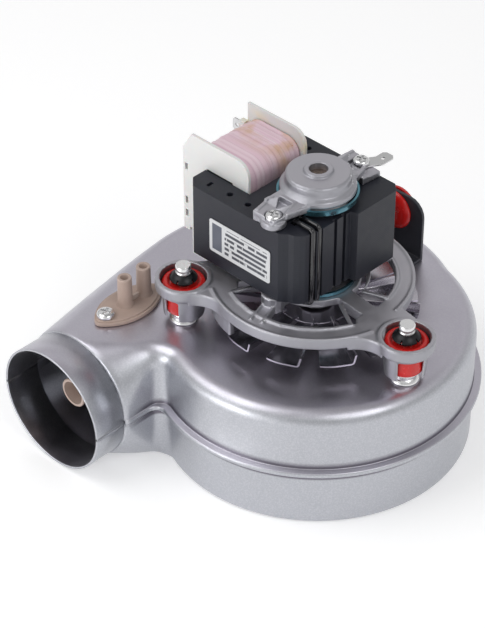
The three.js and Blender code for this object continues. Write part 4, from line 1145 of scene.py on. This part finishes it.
def petal_skin(turn, side):
    """One face of a petal, half a sheet to one side of its middle, with its free corner rounded."""
    rows = []
    for along in [a / 14 for a in range(15)]:
        row = []
        for k, (across, height, slope) in enumerate(petal_section(along)):
            cut = 1.6 * max(along - 0.85, 0) / 0.15 * max(1 - k / 3, 0) ** 2
            radius = blend_between(PETAL_ROOT, PETAL_TIP, along) - cut
            place = Vector((radius, across - side * math.sin(slope), height + side * math.cos(slope)))
            row.append(turn @ place + Vector((0, 0, PETAL_Z)))
        rows.append(row)
    return rows


def cooling_fan():
    """Pressed disc whose petals have one side folded up."""
    half = PETAL_SHEET / 2
    low, high = PETAL_Z - half, PETAL_Z + half
    bore = 4.6
    bm = bmesh.new()
    turned(bm, [(bore, low), (HUB_RADIUS, low), (HUB_RADIUS + 0.1, PETAL_Z), (HUB_RADIUS, high),
                (bore, high), (bore, low)])
    for i in range(PETALS):
        turn = Matrix.Rotation(math.radians(360 / PETALS * i + PETAL_START), 3, "Z")
        under, over = (border(grid(bm, petal_skin(turn, side))) for side in (-half, half))
        for k in range(len(under)):
            m = (k + 1) % len(under)
            bm.faces.new((under[k], under[m], over[m], over[k]))
    piece("cooling_fan", bm, FINISHES["blade"], sharp=35)


cooling_fan()


# -------------------- pieces whose CAD shape is right

for node, solid in frame["nodes"].items():
    solid.data.materials.clear()
    solid.data.materials.append(FINISHES[SLOTS[node]])


# -------------------- studio

def at(x, y, z):
    """A point given in millimetres from the shaft axis, in the frame."""
    return ORIGIN + Vector((x, y, z)) * MM


def studio_floor():
    """Plain pale floor that glows a little, so that it stays nearly white under the fan."""
    bm = bmesh.new()
    reach = 4000
    grid(bm, [[(-reach, -reach, 0), (reach, -reach, 0)], [(-reach, reach, 0), (reach, reach, 0)]])
    floor = object_from("floor", bm)
    pale = finish("floor", (0.86, 0.86, 0.865), 0.6, tint=0.01, mottle=3)
    glow = pale.node_tree.nodes["Principled BSDF"].inputs
    glow["Emission Color"].default_value = (1, 1, 1, 1)
    glow["Emission Strength"].default_value = 0.3
    floor.data.materials.append(pale)


def soft_light(name, place, size, watts, aim=(0, 0, 60)):
    """A round area light of size millimetres, turned towards a point."""
    light = bpy.data.lights.new(name, "AREA")
    light.shape = "DISK"
    light.size = size * MM
    light.energy = watts
    obj = bpy.data.objects.new(name, light)
    obj.location = at(*place)
    obj.rotation_euler = (at(*aim) - at(*place)).to_track_quat("-Z", "Y").to_euler()
    bpy.context.scene.collection.objects.link(obj)


def surroundings():
    """A white room: bright at the horizon, greyer above it, bright again higher up, grey overhead."""
    world = bpy.data.worlds.new("studio")
    world.use_nodes = True
    nodes = world.node_tree.nodes
    links = world.node_tree.links
    direction = nodes.new("ShaderNodeTexCoord").outputs["Generated"]
    split = nodes.new("ShaderNodeSeparateXYZ")
    links.new(direction, split.inputs["Vector"])
    steps = nodes.new("ShaderNodeValToRGB")
    links.new(split.outputs["Z"], steps.inputs["Fac"])
    shades = [(0.0, 0.8), (0.12, 0.8), (0.35, 0.45), (0.62, 0.78), (0.85, 0.35), (1.0, 0.4)]
    for i, (height, grey) in enumerate(shades):
        if i < 2:
            stop = steps.color_ramp.elements[i]
            stop.position = height
        else:
            stop = steps.color_ramp.elements.new(height)
        stop.color = (grey, grey, grey, 1)
    links.new(steps.outputs["Color"], nodes["Background"].inputs["Color"])
    nodes["Background"].inputs["Strength"].default_value = 1.0
    bpy.context.scene.world = world


def camera():
    """Looks down on the fan from its right front, from about 1.1 m away."""
    forward = Vector((-0.5493, 0.5632, -0.6173))
    data = bpy.data.cameras.new("camera")
    data.lens = 137.58
    data.sensor_width = 36
    data.clip_end = 50
    obj = bpy.data.objects.new("camera", data)
    obj.location = at(563.2, -623.7, 719.5)
    obj.rotation_euler = forward.to_track_quat("-Z", "Y").to_euler()
    bpy.context.scene.collection.objects.link(obj)
    bpy.context.scene.camera = obj


studio_floor()
surroundings()
soft_light("key", (-350, -500, 900), 800, 3.2)
soft_light("side", (620, -120, 760), 500, 1.6)
soft_light("fill", (-150, -900, 200), 900, 0.8, aim=(-60, -100, 30))
soft_light("mouth", (-75, -430, 55), 200, 0.35, aim=(-60, -60, 30))
camera()
bpy.context.scene.view_settings.view_transform = "Standard"
